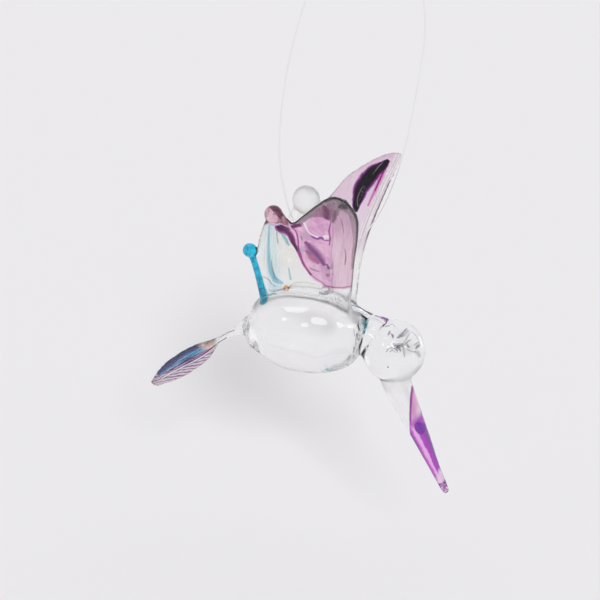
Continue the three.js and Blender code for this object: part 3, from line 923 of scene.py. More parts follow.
far_tint = glass.mix(wing_v.step(0.5, 0.85), on_one_face(0.88, 0.74, 0.85), on_one_face(0.84, 0.66, 0.78))
far_tint = stain(far_tint, streaks.step(0.02, 0.2) * 0.6, 0.93, 0.82, 0.9)
far_tint = stain(far_tint, streaks.step(-0.08, -0.2) * 0.5, 0.8, 0.5, 0.74)
far_tint = stain(far_tint, (wing_v + fine * 0.03).step(0.95, 0.99) * 0.6, 0.72, 0.5, 0.66)
far_lilac = far * wing_v.step(0.22, 0.5) * uneven_u.step(0.68, 0.62)
sheet = glass.mix(far_lilac, sheet, far_tint)
bar = far * (wing_u + streaks * 0.03).step(0.1, 0.07) * wing_v.step(0.2, 0.5)
bar_tint = glass.mix(streaks.step(-0.1, 0.12), on_one_face(0.84, 0.74, 0.8), on_one_face(0.95, 0.91, 0.93))
sheet = glass.mix(bar, sheet, bar_tint)
# Painted shade: two dark lines on the bar stand for the dark refraction lines of the clear glass.
bar_refraction_shade = abs(wing_u - 0.062).step(0.009, 0.003) + abs(wing_u - 0.03).step(0.006, 0.002) * wing_v.step(0.6, 0.7)
sheet = stain(sheet, bar * bar_refraction_shade * 0.7, 0.6, 0.52, 0.6)
print("far wing tinted,", len(glass.tree.nodes), "nodes so far")

# %% [markdown]
# The near wing has a lilac lobe in two halves, with a dark line at the fold between them. Behind the
# fold the colour has pooled, so it is deeper and uneven.

# %% The lilac lobe of the near wing
lilac = glass.attribute("lilac") + fine * 0.25 + broad * 0.2
fold = glass.attribute("fold") + broad * 0.3
panel = glass.mix(streaks.step(-0.2, 0.2), on_one_face(0.8, 0.57, 0.7), on_one_face(0.92, 0.7, 0.82))
panel = stain(panel, wing_v.step(0.35, 0.75) * 0.7, 0.66, 0.47, 0.57)
pooled = (broad + fine * 0.5).step(-0.2, 0.2)
pool = glass.mix(pooled, on_one_face(0.78, 0.42, 0.68), on_one_face(0.93, 0.62, 0.82))
pool = stain(pool, broad.step(-0.02, -0.14) * wing_u.step(0.38, 0.5) * 0.6, 0.66, 0.55, 0.68)
lobe = glass.mix(fold.step(-0.2, 0.2), panel, pool)
lobe = stain(lobe, abs(fold - 0.1).step(0.4, 0.1) * 0.5, 0.56, 0.36, 0.5)
sheet = glass.mix(near * lilac.step(-0.05, 0.1), sheet, lobe)
print("lilac lobe tinted,", len(glass.tree.nodes), "nodes so far")

# %% [markdown]
# Along its tips the near wing is dark, in two domes of plum and grey. The scraped arcs are laid over
# them as clear glass, and then all of the sheet's tints go on the one painted face.

# %% The dark domes and the scraped arcs
dome = near * (glass.attribute("dome") + broad * 0.5 + fine * 0.3).step(-0.15, 0.35)
dome_tint = glass.mix(uneven_u.step(0.36, 0.48), on_one_face(0.36, 0.17, 0.28), on_one_face(0.33, 0.3, 0.32))
dome_tint = stain(dome_tint, uneven_u.step(0.24, 0.16), 0.42, 0.31, 0.37)
dome_tint = stain(dome_tint, wing_v.step(0.78, 0.6), 0.56, 0.4, 0.49)
dome_tint = stain(dome_tint, (wing_v + fine * 0.05).step(0.94, 0.99) * 0.6, 0.52, 0.46, 0.5)
dome_tint = stain(dome_tint, streaks.step(0.0, 0.25) * 0.35, 0.66, 0.5, 0.6)
sheet = glass.mix(dome, sheet, dome_tint)
light_lines = (glass.attribute("light_line") + fine * 0.5).step(0.55, 0.25)
sheet = glass.mix(near * light_lines, sheet, CLEAR)
tint = glass.mix((near + far) * painted, CLEAR, sheet)
# Painted shade: a dark line along the far wing's leading edge stands for the dark refraction line of its
# clear edge.
lead_edge_shade = far * wing_u.step(0.012, 0.004) * wing_v.step(0.3, 0.45) * wing_v.step(0.84, 0.8)
tint = stain(tint, lead_edge_shade, 0.3, 0.17, 0.24)
print("domes tinted,", len(glass.tree.nodes), "nodes so far")

# %% [markdown]
# The near wing's knob is a drop of pink glass; its dark crimson upper right side and greyer edges are painted
# shade, and its shoulder is mottled.
# The quills are cyan rods, streaked with darker and lighter glass, and the far one is paler.

# %% The knob and the quills
knob, knob_side = glass.attribute("knob"), glass.attribute("knob_side")
pink_knob = glass.mix((broad + fine).step(-0.1, 0.2), (0.8, 0.42, 0.55, 1), (0.92, 0.72, 0.77, 1))
# Painted shade: dark crimson on the knob's upper right side, grey at its far upper right edge and at its
# lower left edge.
pink_knob = glass.mix((knob_side + broad * 1.5).step(0.1, 0.6), pink_knob, (0.1, 0.01, 0.035, 1))
pink_knob = glass.mix((knob_side + fine).step(2.2, 2.7) * 0.6, pink_knob, (0.35, 0.28, 0.3, 1))
pink_knob = glass.mix((knob_side + fine * 0.5).step(-2.3, -2.7) * 0.7, pink_knob, (0.4, 0.26, 0.3, 1))
tint = glass.mix((knob + fine * 0.5).step(4.0, 3.4), tint, pink_knob)
shoulder = knob.step(6.6, 5.6) * knob.step(3.4, 4.0) * wing_v.step(0.88, 0.92)
shoulder_tint = glass.mix(fine.step(-0.1, 0.1), (0.14, 0.02, 0.07, 1), (0.66, 0.26, 0.36, 1))
tint = glass.mix(shoulder, tint, shoulder_tint)

quill = glass.attribute("quill").step(0.35, 0.15)
quill_share = glass.attribute("quill_share")
quill_tint = glass.mix(quill_share.step(0.3, 0.95), (0.012, 0.3, 0.5, 1), (0.015, 0.52, 0.8, 1))
quill_tint = glass.mix(glass.noise(420.0, 2.0, 1.0).step(0.46, 0.58) * 0.7, quill_tint, (0.03, 0.72, 0.95, 1))
quill_tint = glass.mix(glass.noise(500.0, 2.0, 1.5).step(0.48, 0.38) * 0.8, quill_tint, (0.005, 0.12, 0.2, 1))
quill_tint = glass.mix(glass.attribute("far"), quill_tint, (0.6, 0.84, 0.9, 1))
tint = glass.mix(quill * quill_share.step(0.02, 0.12), tint, quill_tint)
print("knob and quills tinted,", len(glass.tree.nodes), "nodes so far")

# %% [markdown]
# The tail is a fan of fine lines: blue and teal on its upper side, a magenta line along the middle
# and pale lilac with slanted barbs below. Two noises that are stretched along the tail give the lines.

# %% Tail tints
tail, along, across = (glass.attribute(name) for name in ("tail", "tail_share", "tail_across"))
lines_at = glass.vector(along * 2.2, across * 9.0 + along * 3.0, 0.0)
tail_lines = glass.noise(1.0, 4.0, 0.4, at=lines_at) - 0.5
hair_lines = glass.noise(1.0, 2.0, 0.2, at=glass.vector(along * 4.0, across * 17.0 + along * 12.0, 4.0)) - 0.5
slant = across + tail_lines * 0.14 + along * 0.8 - 0.22
barbs = (along * 70.0 + across * 14.0 + glass.noise(300.0) * 8.0).wave()
upper = glass.mix(tail_lines.step(-0.05, 0.02), on_one_face(0.08, 0.09, 0.3), on_one_face(0.06, 0.5, 0.78))
upper = stain(upper, hair_lines.step(0.05, 0.08) * 0.8, 0.5, 0.76, 0.86)
upper = stain(upper, hair_lines.step(-0.03, -0.06) * 0.95, 0.05, 0.07, 0.14)
upper = stain(upper, along.step(0.55, 0.85) * tail_lines.step(-0.1, 0.1), 0.3, 0.62, 0.6)
upper = stain(upper, (across + tail_lines * 0.3).step(-0.6, -0.72), 0.12, 0.14, 0.36)
upper = stain(upper, across.step(-0.88, -0.95), 0.1, 0.12, 0.2)
# Painted light: a peach tint at the tail's root stands for the caustic light that the glass focuses there.
upper = stain(upper, (along + tail_lines * 0.2).step(0.2, 0.1), 0.85, 0.66, 0.55)
lower = glass.mix(barbs.step(0.4, 0.6), on_one_face(0.28, 0.18, 0.26), on_one_face(0.8, 0.7, 0.8))
lower = stain(lower, hair_lines.step(0.04, 0.08) * 0.6, 0.6, 0.42, 0.58)
lower = stain(lower, across.step(0.8, 0.88), 0.2, 0.1, 0.18)
middle = glass.mix(along.step(0.05, 0.4), on_one_face(0.3, 0.02, 0.2), on_one_face(0.14, 0.04, 0.2))
middle = stain(middle, hair_lines.step(0.02, 0.08) * along.step(0.12, 0.3), 0.9, 0.72, 0.86)
fan = glass.mix(slant.step(-0.18, -0.14), upper, middle)
fan = stain(fan, slant.step(0.14, 0.17), 0.95, 0.92, 0.98)
fan = stain(fan, slant.step(0.24, 0.27), 0.16, 0.18, 0.28)
fan = glass.mix(slant.step(0.3, 0.33), fan, lower)
tip_tint = glass.mix(barbs.step(0.35, 0.6), on_one_face(0.42, 0.32, 0.38), on_one_face(0.8, 0.7, 0.76))
fan = glass.mix((along + tail_lines * 0.12).step(0.84, 0.88), fan, tip_tint)
tail_painted = tail * glass.attribute("tail_skin").step(-0.05, 0.05) * along.step(-0.02, 0.02)
tint = glass.mix(tail_painted, tint, fan)
print("tail tinted,", len(glass.tree.nodes), "nodes so far")

# %% [markdown]
# The beak is magenta glass drawn into the right part of a clear rod. It is pale near the head, dark
# at one side and in a blob halfway, and its last part fades to pink.

# %% Beak tints
beak, beak_share = glass.attribute("beak"), glass.attribute("beak_share")
side = glass.attribute("beak_side") + fine * 0.25
uneven_side = (side + broad * 0.8).step(-0.3, 0.4)
beak_tint = glass.mix(uneven_side, on_one_face(0.66, 0.14, 0.66), on_one_face(0.5, 0.08, 0.6))
light = abs(side + 0.42 - beak_share * 0.65) + broad * 0.5
beak_tint = stain(beak_tint, light.step(0.34, 0.16) * beak_share.step(0.5, 0.56), 0.93, 0.5, 0.92)
beak_tint = stain(beak_tint, side.step(-0.45, -0.7) * beak_share.step(0.45, 0.55), 0.2, 0.05, 0.36)
beak_tint = stain(beak_tint, side.step(0.72, 0.86) * beak_share.step(0.52, 0.58), 0.32, 0.1, 0.42)
upper_beak = glass.mix(beak.step(3.4, 1.4), on_one_face(0.9, 0.74, 0.8), on_one_face(0.82, 0.4, 0.7))
upper_beak = stain(upper_beak, beak.step(1.0, 0.4) * beak_share.step(0.12, 0.3), 0.34, 0.06, 0.36)
beak_tint = glass.mix((beak_share + side * 0.03).step(0.52, 0.46), beak_tint, upper_beak)
beak_tint = stain(beak_tint, (glass.attribute("blob") + broad * 0.3).step(1.05, 0.9), 0.24, 0.05, 0.44)
tip = (beak_share + side * 0.04 + broad * 0.1).step(0.87, 0.92)
beak_tint = stain(beak_tint, tip * 0.85, 0.95, 0.72, 0.92)
beak_tint = stain(beak_tint, tip * (broad + fine).step(-0.08, -0.16), 0.55, 0.2, 0.6)
beak_tint = stain(beak_tint, beak_share.step(0.2, 0.12), 0.26, 0.2, 0.3)
beak_face = glass.attribute("beak_skin").step(-0.1, 0.1) * (beak + fine * 0.3).step(-0.05, 0.1)
tint = glass.mix(beak_face * beak_share.step(0.03, 0.08), tint, beak_tint)
glass.set("Base Color", tint)
print("beak tinted,", len(glass.tree.nodes), "nodes in all")

# %% [markdown]
# Fired glass is nearly a mirror, but three places are dull: the far wing's knob, the near wing's rim
# and the melted joints. Their roughness also softens the dark lines that clear glass shows there.

# %% How smooth the glass is
POLISH = 0.02
KNOB_FROST = 0.35
JOINT_FROST = 0.5
RIM_FROST = 0.25
joint_haze = glass.attribute("joint").step(5.5, 3.0) * JOINT_FROST
knob_frost = glass.attribute("far_knob").step(6.4, 5.0) * KNOB_FROST
rim = (wing_v.step(0.965, 0.985) + wing_u.step(0.018, 0.008)) * near
glass.set("Roughness", POLISH + knob_frost + joint_haze + rim * RIM_FROST)
print("roughness from", POLISH, "to", POLISH + JOINT_FROST)

# %% [markdown]
# Hand-worked glass is never quite even. A slow swell breaks up its reflections, and tooled places
# at the joints, the fine feather lines and the barbs of the tail bend the light more sharply.

# %% The relief of the glass
SWELL_GRAIN, TOOL_GRAIN = 110.0, 420.0
RELIEF_HEIGHT = 0.3 * MM
swell = glass.noise(SWELL_GRAIN, 1.0)
tool_marks = glass.noise(TOOL_GRAIN, 2.0, 1.0) * glass.attribute("tooled")
feather_lines = (wing_u * 260.0).wave() * far * wing_u.step(0.14, 0.1) + streaks * (near + far) * 1.2
relief = swell * 1.2 + tool_marks * 4.0 + feather_lines * 0.3 + barbs * tail * 0.12 + tail_lines * tail * 0.5
glass.bump(relief, 1.0, RELIEF_HEIGHT)
dress(bird, glass)
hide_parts("glass_bird")
print("glass finish of", len(glass.tree.nodes), "nodes")

# %% [markdown]
# Some colour lies deeper: thin stringers of coloured glass sealed in the clear. Each is a flat rod
# with no change of index at its skin, so only its tint is seen, and the tint fades to its edges. A
# few pale, milky and grey-lilac ones are painted highlights, and the pale and milky ones glow a little.

# %% Make a stringer and its finish
LEAST_HALF_WIDTH = 0.01 * MM


def stringer_finish(name, heart, rim, heart_from=0.35, clear_from=0.98, fade=0.25):
    finish = Finish(name, Roughness=0.0, IOR=1.0, Transmission_Weight=1.0)
    across = abs(finish.attribute("across")) + (finish.noise(600.0, 2.0) - 0.5) * 0.25
    tint = finish.mix(across.step(heart_from, heart_from + 0.3), heart, rim)
    tint = finish.mix(across.step(clear_from - fade, clear_from), tint, (0.99, 0.99, 0.99, 1))
    finish.set("Base Color", tint)
    return finish


def add_stringer(name, line, widths, depth, facing, finish, around=24, rings=64):
    """A flat rod along a line, with half widths in mm, whose flat sides face a given way."""
    line = np.asarray(line, float)
    widths = smooth_curve(np.column_stack([widths, widths]), np.linspace(0, 1, len(line)))[:, 0]
    sizes = np.column_stack([widths, np.full(len(widths), depth)]) * MM
    wide = unit(np.cross(facing, np.gradient(line, axis=0)))
    piece = drawn_rod(line, sizes, wide, around, rings, 0.04)
    piece.name = name
    skin = vertex_places(piece)
    t = np.linspace(0, 1, 200)
    drawn = smooth_curve(line, t)
    best = np.linalg.norm(skin[:, None] - drawn[None], axis=2).argmin(axis=1)
    half = smooth_curve(np.column_stack([widths, widths]), t)[best, 0] * MM
    out = unit(smooth_curve(wide, t))[best]
    across = ((skin - drawn[best]) * out).sum(axis=1) / np.maximum(half, LEAST_HALF_WIDTH)
    layer = piece.data.attributes.new("across", "FLOAT", "POINT")
    layer.data.foreach_set("value", across.astype(np.float32))
    shade(piece)
    dress(piece, finish)


def lay_on_wing(name, edges, line, widths, finish, lift=0.0, depth=0.16):
    """A stringer sealed in a wing, on the middle sheet or lifted towards the near side, in mm."""
    shares = smooth_curve(line, np.linspace(0, 1, 24))
    facing = sheet_normal(edges, shares[:, 0], shares[:, 1]).mean(axis=0)
    add_stringer(name, sheet_places(edges, *shares.T) + facing * lift * MM, widths, depth, facing, finish)


# %% [markdown]
# The worker keeps a bundle of these rods at hand, one for each colour. The first colour is the
# heart of the rod, and the second is its rim.

# %% Colours of the stringers
HIGHLIGHT_GLOW = 0.2
plum = stringer_finish("plum", (0.1, 0.0, 0.1, 1), (0.5, 0.02, 0.4, 1), 0.3)
magenta = stringer_finish("magenta", (0.4, 0.07, 0.36, 1), (0.72, 0.36, 0.62, 1), 0.3)
rose = stringer_finish("rose", (0.6, 0.36, 0.46, 1), (0.8, 0.6, 0.7, 1), 0.3)
violet = stringer_finish("violet", (0.28, 0.12, 0.34, 1), (0.5, 0.28, 0.52, 1), 0.1, 1.0, 0.7)
cyan = stringer_finish("cyan", (0.42, 0.68, 0.78, 1), (0.6, 0.82, 0.88, 1), 0.3)
teal = stringer_finish("teal", (0.4, 0.66, 0.68, 1), (0.62, 0.82, 0.82, 1), 0.3)
purple = stringer_finish("purple", (0.3, 0.05, 0.42, 1), (0.6, 0.3, 0.65, 1), 0.3)
bright = stringer_finish("bright", (0.82, 0.28, 0.66, 1), (0.9, 0.6, 0.82, 1), 0.3)
grey = stringer_finish("grey", (0.5, 0.47, 0.5, 1), (0.75, 0.73, 0.75, 1), 0.2)
ink = stringer_finish("ink", (0.04, 0.015, 0.035, 1), (0.3, 0.2, 0.27, 1), 0.4)
amber = stringer_finish("amber", (0.85, 0.36, 0.1, 1), (0.9, 0.7, 0.4, 1), 0.3)
straw = stringer_finish("straw", (0.78, 0.74, 0.5, 1), (0.9, 0.88, 0.75, 1), 0.3)
violet_heart = stringer_finish("violet_heart", (0.003, 0.002, 0.006, 1), (0.3, 0.01, 0.36, 1), 0.5)
# Painted highlight: a pale finish that glows a little, for the bright strokes in the head.
painted_highlight = Finish(
    "painted_highlight_line", Base_Color=(0.93, 0.9, 0.95, 1), Roughness=0.35,
    Emission_Color=(0.9, 0.88, 0.92, 1), Emission_Strength=HIGHLIGHT_GLOW,
)
# Painted highlight: a grey-lilac finish for the far wing's two glints.
glint_highlight = Finish("painted_glint_line", Base_Color=(0.5, 0.46, 0.58, 1), Roughness=0.35)
print(len(bpy.data.materials), "finishes so far")

# %% [markdown]
# In the near wing the stringers make ribbons at the edges of the tints, blotches in the lower
# feather and long stripes in the clear one. Each row has a line in shares across and out, its half
# widths in millimetres and its colour.

# %% Stringers of the near wing
NEAR_STRINGERS = [
    ("ribbon", [[0.8, 0.845], [0.785, 0.82], [0.713, 0.82], [0.65, 0.78], [0.6, 0.605], [0.555, 0.44]],
     [0.9, 2.0, 2.0, 1.9, 1.1, 0.6], plum),
    ("ribbon_light", [[0.78, 0.868], [0.718, 0.858], [0.652, 0.88]], [0.5, 0.9, 0.7], magenta),
    ("lower_edge", [[0.6, 0.62], [0.575, 0.505], [0.522, 0.338], [0.478, 0.247], [0.41, 0.18]],
     [0.7, 0.7, 0.65, 0.6, 0.5], magenta),
    ("rose_edge", [[0.435, 0.195], [0.365, 0.158], [0.3, 0.138], [0.258, 0.12], [0.185, 0.118]],
     [0.3, 0.35, 0.3, 0.5, 0.45], rose),
    ("hem", [[0.185, 0.118], [0.092, 0.125], [0.01, 0.14]], [0.35, 0.35, 0.3], rose),
    ("inner_edge", [[0.62, 0.92], [0.59, 0.848], [0.562, 0.672], [0.545, 0.465], [0.508, 0.333]],
     [0.5, 0.4, 0.35, 0.3, 0.2], magenta),
    ("notch", [[0.63, 0.93], [0.58, 0.93], [0.53, 0.88]], [0.5, 0.9, 0.8], plum),
    ("seam", [[0.26, 0.682], [0.27, 0.578], [0.253, 0.475], [0.253, 0.41]], [0.25, 0.42, 0.4, 0.3], violet),
    ("squiggle", [[0.44, 0.608], [0.403, 0.547], [0.372, 0.512], [0.34, 0.52], [0.315, 0.478], [0.26, 0.453]],
     [0.3, 0.6, 0.5, 0.7, 0.4, 0.3], purple),
    ("blotch", [[0.49, 0.54], [0.43, 0.42], [0.36, 0.323], [0.28, 0.235]], [1.0, 2.9, 2.9, 1.3], violet),
    ("blotch_low", [[0.47, 0.4], [0.41, 0.3], [0.34, 0.25]], [0.8, 1.6, 0.9], rose),
    ("blotch_foot", [[0.42, 0.222], [0.378, 0.208], [0.33, 0.198]], [0.4, 0.6, 0.35], grey),
    ("fleck_right", [[0.256, 0.242], [0.233, 0.212]], [0.45, 0.45], violet),
    ("fleck_left", [[0.532, 0.67], [0.515, 0.59]], [0.35, 0.35], grey),
    ("dark_spot", [[0.13, 0.85], [0.08, 0.89], [0.03, 0.93]], [0.9, 1.7, 1.3], ink),
    ("dark_corner", [[0.19, 0.83], [0.215, 0.74], [0.238, 0.675]], [0.6, 0.8, 0.5], grey),
    ("heart_of_dome", [[0.275, 0.93], [0.283, 0.835], [0.295, 0.75]], [1.0, 1.5, 1.1], magenta),
    ("panel_streak", [[0.098, 0.375], [0.077, 0.31], [0.075, 0.25]], [0.2, 0.3, 0.25], rose),
    ("panel_vein", [[0.155, 0.708], [0.138, 0.618], [0.125, 0.532]], [0.2, 0.25, 0.2], grey),
    ("long_stripe", [[0.907, 0.853], [0.875, 0.633], [0.87, 0.43], [0.865, 0.295], [0.85, 0.225],
                     [0.805, 0.163], [0.72, 0.143]], [0.4, 0.5, 0.7, 0.9, 1.2, 1.1, 0.7], cyan),
    ("stripe_shade", [[0.838, 0.318], [0.83, 0.238], [0.802, 0.182], [0.743, 0.16]],
     [0.15, 0.35, 0.35, 0.2], grey),
    ("patch", [[0.775, 0.775], [0.703, 0.703], [0.642, 0.57]], [0.5, 1.3, 0.7], teal),
    ("grey_line", [[0.802, 0.772], [0.768, 0.578]], [0.3, 0.25], grey),
    ("teal_dash", [[0.64, 0.245], [0.625, 0.165]], [0.3, 0.5], teal),
    ("root_arc", [[0.958, 0.212], [0.9, 0.185], [0.858, 0.147], [0.81, 0.125]], [0.2, 0.3, 0.3, 0.2], grey),
    ("amber_mark", [[0.71, 0.093], [0.705, 0.113], [0.67, 0.12], [0.655, 0.1], [0.69, 0.09]],
     [0.3, 0.35, 0.4, 0.3, 0.2], amber),
    ("straw_line", [[0.652, 0.11], [0.605, 0.135], [0.508, 0.14], [0.405, 0.13], [0.31, 0.118]],
     [0.45, 0.3, 0.25, 0.25, 0.15], straw),
    ("teal_foot", [[0.927, 0.072], [0.873, 0.083], [0.807, 0.077]], [0.3, 0.5, 0.3], teal),
]
for name, line, widths, finish in NEAR_STRINGERS:
    lay_on_wing("near_" + name, NEAR_WING, line, widths, finish)
print(len(NEAR_STRINGERS), "stringers in the near wing")

# %% [markdown]
# The far wing has one dark heart of violet with a bright line before it. Two thin grey-lilac lines
# just under its near face, beside the heart, are painted highlights.

# %% Stringers of the far wing
GLINT_LIFT, GLINT_DEPTH = 0.24, 0.08
FAR_STRINGERS = [
    ("heart", [[0.14, 0.95], [0.177, 0.912], [0.233, 0.885], [0.263, 0.833], [0.278, 0.777], [0.265, 0.708],
               [0.253, 0.645], [0.228, 0.59]], [0.8, 2.2, 3.0, 3.3, 3.1, 2.5, 1.7, 0.8], violet_heart),
    ("line", [[0.138, 0.91], [0.133, 0.848], [0.128, 0.785], [0.125, 0.735], [0.128, 0.688], [0.128, 0.63]],
     [0.9, 1.0, 0.9, 0.8, 0.6, 0.4], bright),
    ("line_heart", [[0.133, 0.88], [0.13, 0.81], [0.125, 0.735]], [0.2, 0.4, 0.3], magenta),
]
for name, line, widths, finish in FAR_STRINGERS:
    lay_on_wing("far_" + name, FAR_WING, line, widths, finish)
# Painted highlights: two glints lifted towards the near face.
lay_on_wing("far_glint", FAR_WING, [[0.235, 0.865], [0.22, 0.895], [0.205, 0.925], [0.182, 0.938]],
            [0.08, 0.16, 0.18, 0.08], glint_highlight, GLINT_LIFT, GLINT_DEPTH)
lay_on_wing("far_glint_low", FAR_WING, [[0.23, 0.63], [0.265, 0.685], [0.273, 0.733], [0.273, 0.78]],
            [0.14, 0.18, 0.16, 0.08], glint_highlight, GLINT_LIFT, GLINT_DEPTH)
print(len(FAR_STRINGERS), "stringers and 2 glints in the far wing")

# %% [markdown]
# The clear ball shows dark parts of the room bent through it, and these are painted in as fine dark
# and grey strokes close under its skin, with a small ring and one dark dot. Its few bright strokes
# are painted highlights. The ball works as a lens, so strokes inside it are made smaller than they
# look, by the share named below.

# %% Painted refraction and highlights in the head
dark_stroke = stringer_finish("dark_stroke", (0.2, 0.2, 0.21, 1), (0.55, 0.55, 0.57, 1), 0.0, 0.9)
painted_grey_refraction = stringer_finish("painted_grey_refraction", (0.55, 0.56, 0.58, 1), (0.78, 0.78, 0.8, 1), 0.1, 0.9)
slate = stringer_finish("slate", (0.22, 0.42, 0.47, 1), (0.5, 0.68, 0.72, 1), 0.2, 0.9)
# Each row is a painted stroke: the dark and grey ones stand for refraction, the bright ones are painted
# highlights.
HEAD_MARKS = [
    ([[381, 323], [383.5, 321.7], [387.5, 321.7]], [0.15, 0.35, 0.2], dark_stroke),
    ([[387, 319], [391, 320], [393, 324]], [0.2, 0.25, 0.15], painted_grey_refraction),
    ([[387.8, 328.5], [387, 331], [386, 334]], [0.15, 0.4, 0.2], dark_stroke),
    ([[389, 332], [390.5, 334], [391, 337]], [0.2, 0.5, 0.2], dark_stroke),
    ([[395, 336.8], [398.5, 334.3], [401, 331], [406, 325]], [0.3, 0.65, 0.5, 0.3], dark_stroke),
    ([[399, 336], [403, 332.5], [407, 327]], [0.3, 0.7, 0.4], painted_grey_refraction),
    ([[402, 341], [405, 336], [408.5, 331]], [0.2, 0.4, 0.2], painted_grey_refraction),
    ([[403, 342.5], [406, 340], [409, 338]], [0.15, 0.25, 0.15], dark_stroke),
    ([[410, 329], [414, 330.5], [417.5, 335], [420.5, 342]], [0.2, 0.25, 0.25, 0.2], painted_grey_refraction),
    ([[391, 342], [394.5, 344.5], [399, 344], [403, 343.2], [407, 346]], [0.4, 0.9, 0.8, 0.6, 0.3], dark_stroke),
    ([[393, 344], [396.5, 347], [398.5, 350]], [0.5, 0.8, 0.3], dark_stroke),
    ([[400.5, 345], [401.5, 350], [402, 355.5]], [0.5, 0.5, 0.2], painted_grey_refraction),
    ([[404, 347.5], [409, 350], [414, 350.5]], [0.2, 0.25, 0.2], painted_grey_refraction),
    ([[414, 347.5], [416.5, 345], [420, 343]], [0.3, 0.7, 0.35], dark_stroke),
    ([[412, 344], [417, 341], [420, 340]], [0.3, 0.5, 0.3], painted_grey_refraction),
    ([[413, 350], [417, 352], [420, 356]], [0.5, 1.1, 0.6], painted_grey_refraction),
    ([[384.5, 350.5], [386, 347.8], [390.5, 346.5], [394.5, 348.8], [395.5, 351]],
     [0.15, 0.22, 0.18, 0.28, 0.15], dark_stroke),
    ([[388, 350.5], [390.5, 348.5], [393.5, 351]], [0.12, 0.15, 0.12], dark_stroke),
    ([[385.7, 365.4], [386.3, 366.4]], [0.3, 0.3], dark_stroke),
    ([[390.5, 350], [392.5, 350]], [0.3, 0.3], painted_highlight),
    ([[403.5, 335.5], [406, 332], [408.5, 327.5]], [0.1, 0.22, 0.12], painted_highlight),
    ([[388.5, 329.5], [388.5, 333]], [0.15, 0.2], painted_highlight),
    ([[396, 347.5], [398, 351]], [0.1, 0.2], painted_highlight),
]
HEAD_MAGNIFIES = 1.18
HEAD_PIXEL = (393, 350)
MARK_DEPTH = 5 * MM
STROKE_DEPTH = 0.1
STROKE_CUTS = (16, 32)
right, over, front = (np.array(way) for way in (camera_right, camera_up, towards))


def facing_strokes(name, marks, centre, centre_pixel, scale):
    """Strokes in the plane through a centre that faces the front, from places in the photograph."""
    for number, (pixels, widths, finish) in enumerate(marks):
        offsets = (np.array(pixels, float) - centre_pixel) * PIXEL / scale
        line = centre + offsets[:, :1] * right - offsets[:, 1:] * over
        line = smooth_curve(line, np.linspace(0, 1, 14))
        add_stringer(f"{name}_{number}", line, widths, STROKE_DEPTH, front, finish, *STROKE_CUTS)


facing_strokes("head_painted_refraction", HEAD_MARKS, HEAD_CENTRE + front * MARK_DEPTH, HEAD_PIXEL, HEAD_MAGNIFIES)
print(len(HEAD_MARKS), "painted_light_strokes in the head")

# %% [markdown]
# The neck has painted refraction lines of the same kind, and one teal stroke. The thin stem of the
# tail has two dark lines along its middle. A pale rod that glows a little lies in the bend of the
# neck as a painted highlight, where the glass would else show only black.

# %% Painted refraction lines of the neck, lines of the stem, and the painted highlight rod
NECK_MAGNIFIES = 1.15
NECK_PIXEL = (359, 330)
NECK_REFRACTION_CENTRE = BODY_CENTRE + [17.5 * MM, -3 * MM, 2 * MM]
NECK_HIGHLIGHT_DEPTH = 0.9
NECK_HIGHLIGHT_GLOW = 0.25
# Painted refraction: dark and grey lines that the neck's clear glass shows, with the teal stroke first.
NECK_MARKS = [
    ([[371, 311], [370.8, 317], [370.5, 323], [369.5, 329]], [0.9, 1.6, 1.1, 0.5], slate),
    ([[373, 320], [372, 325], [371, 329]], [0.3, 0.6, 0.3], slate),
    ([[357, 311], [357, 318]], [0.5, 0.4], painted_grey_refraction),
    ([[357, 325], [358, 331]], [0.3, 0.3], painted_grey_refraction),
    ([[361, 329], [360, 334], [359.7, 340]], [0.4, 0.35, 0.3], dark_stroke),
    ([[357.3, 342], [356, 348.5]], [0.35, 0.3], dark_stroke),
    ([[361.8, 344], [361, 350]], [0.2, 0.2], dark_stroke),
    ([[353.5, 350], [352, 354], [351, 358]], [0.3, 0.8, 0.6], painted_grey_refraction),
    ([[357.5, 352], [358, 356]], [0.25, 0.3], dark_stroke),
]
STEM_LINES = [
    ([[-28, 0, -8.2], [-25.5, 0, -6.2], [-22.8, 0, -4.5]], [0.1, 0.2, 0.15]),
    ([[-29.8, 0, -10.8], [-27.5, 0, -8.9], [-25.4, 0, -7.2]], [0.1, 0.2, 0.15]),
]
for number, (line, widths) in enumerate(STEM_LINES):
    add_stringer(f"stem_line_{number}", spots(line), widths, STROKE_DEPTH, front, dark_stroke, *STROKE_CUTS)
# Painted highlight: a pale rod that glows a little, laid where the neck shows a bright highlight and would
# else be black.
NECK_HIGHLIGHT = spots([[14.5, -0.4, 9.3], [17, -0.4, 8.9], [20, -0.4, 7.1], [22.6, -0.4, 6.8], [25, -0.4, 5.5]])
NECK_HIGHLIGHT_WIDTHS = [0.5, 0.9, 0.8, 0.6, 0.4]
highlight_rod_finish = Finish(
    "painted_highlight_rod", Base_Color=(0.95, 0.96, 0.98, 1), Roughness=0.4,
    Emission_Color=(0.9, 0.92, 0.95, 1), Emission_Strength=NECK_HIGHLIGHT_GLOW,
)
add_stringer("neck_highlight", NECK_HIGHLIGHT, NECK_HIGHLIGHT_WIDTHS, NECK_HIGHLIGHT_DEPTH, front, highlight_rod_finish, *STROKE_CUTS)
facing_strokes("neck_painted_refraction", NECK_MARKS, NECK_REFRACTION_CENTRE, NECK_PIXEL, NECK_MAGNIFIES)
print(len(NECK_MARKS), "dark_lines in the neck and", len(STEM_LINES), "in the stem")

# %% [markdown]
# The room is a plain pale studio. Its floor lies well below the bird, so only a broad soft shadow
# falls on it, and it is one plane of a matt finish.

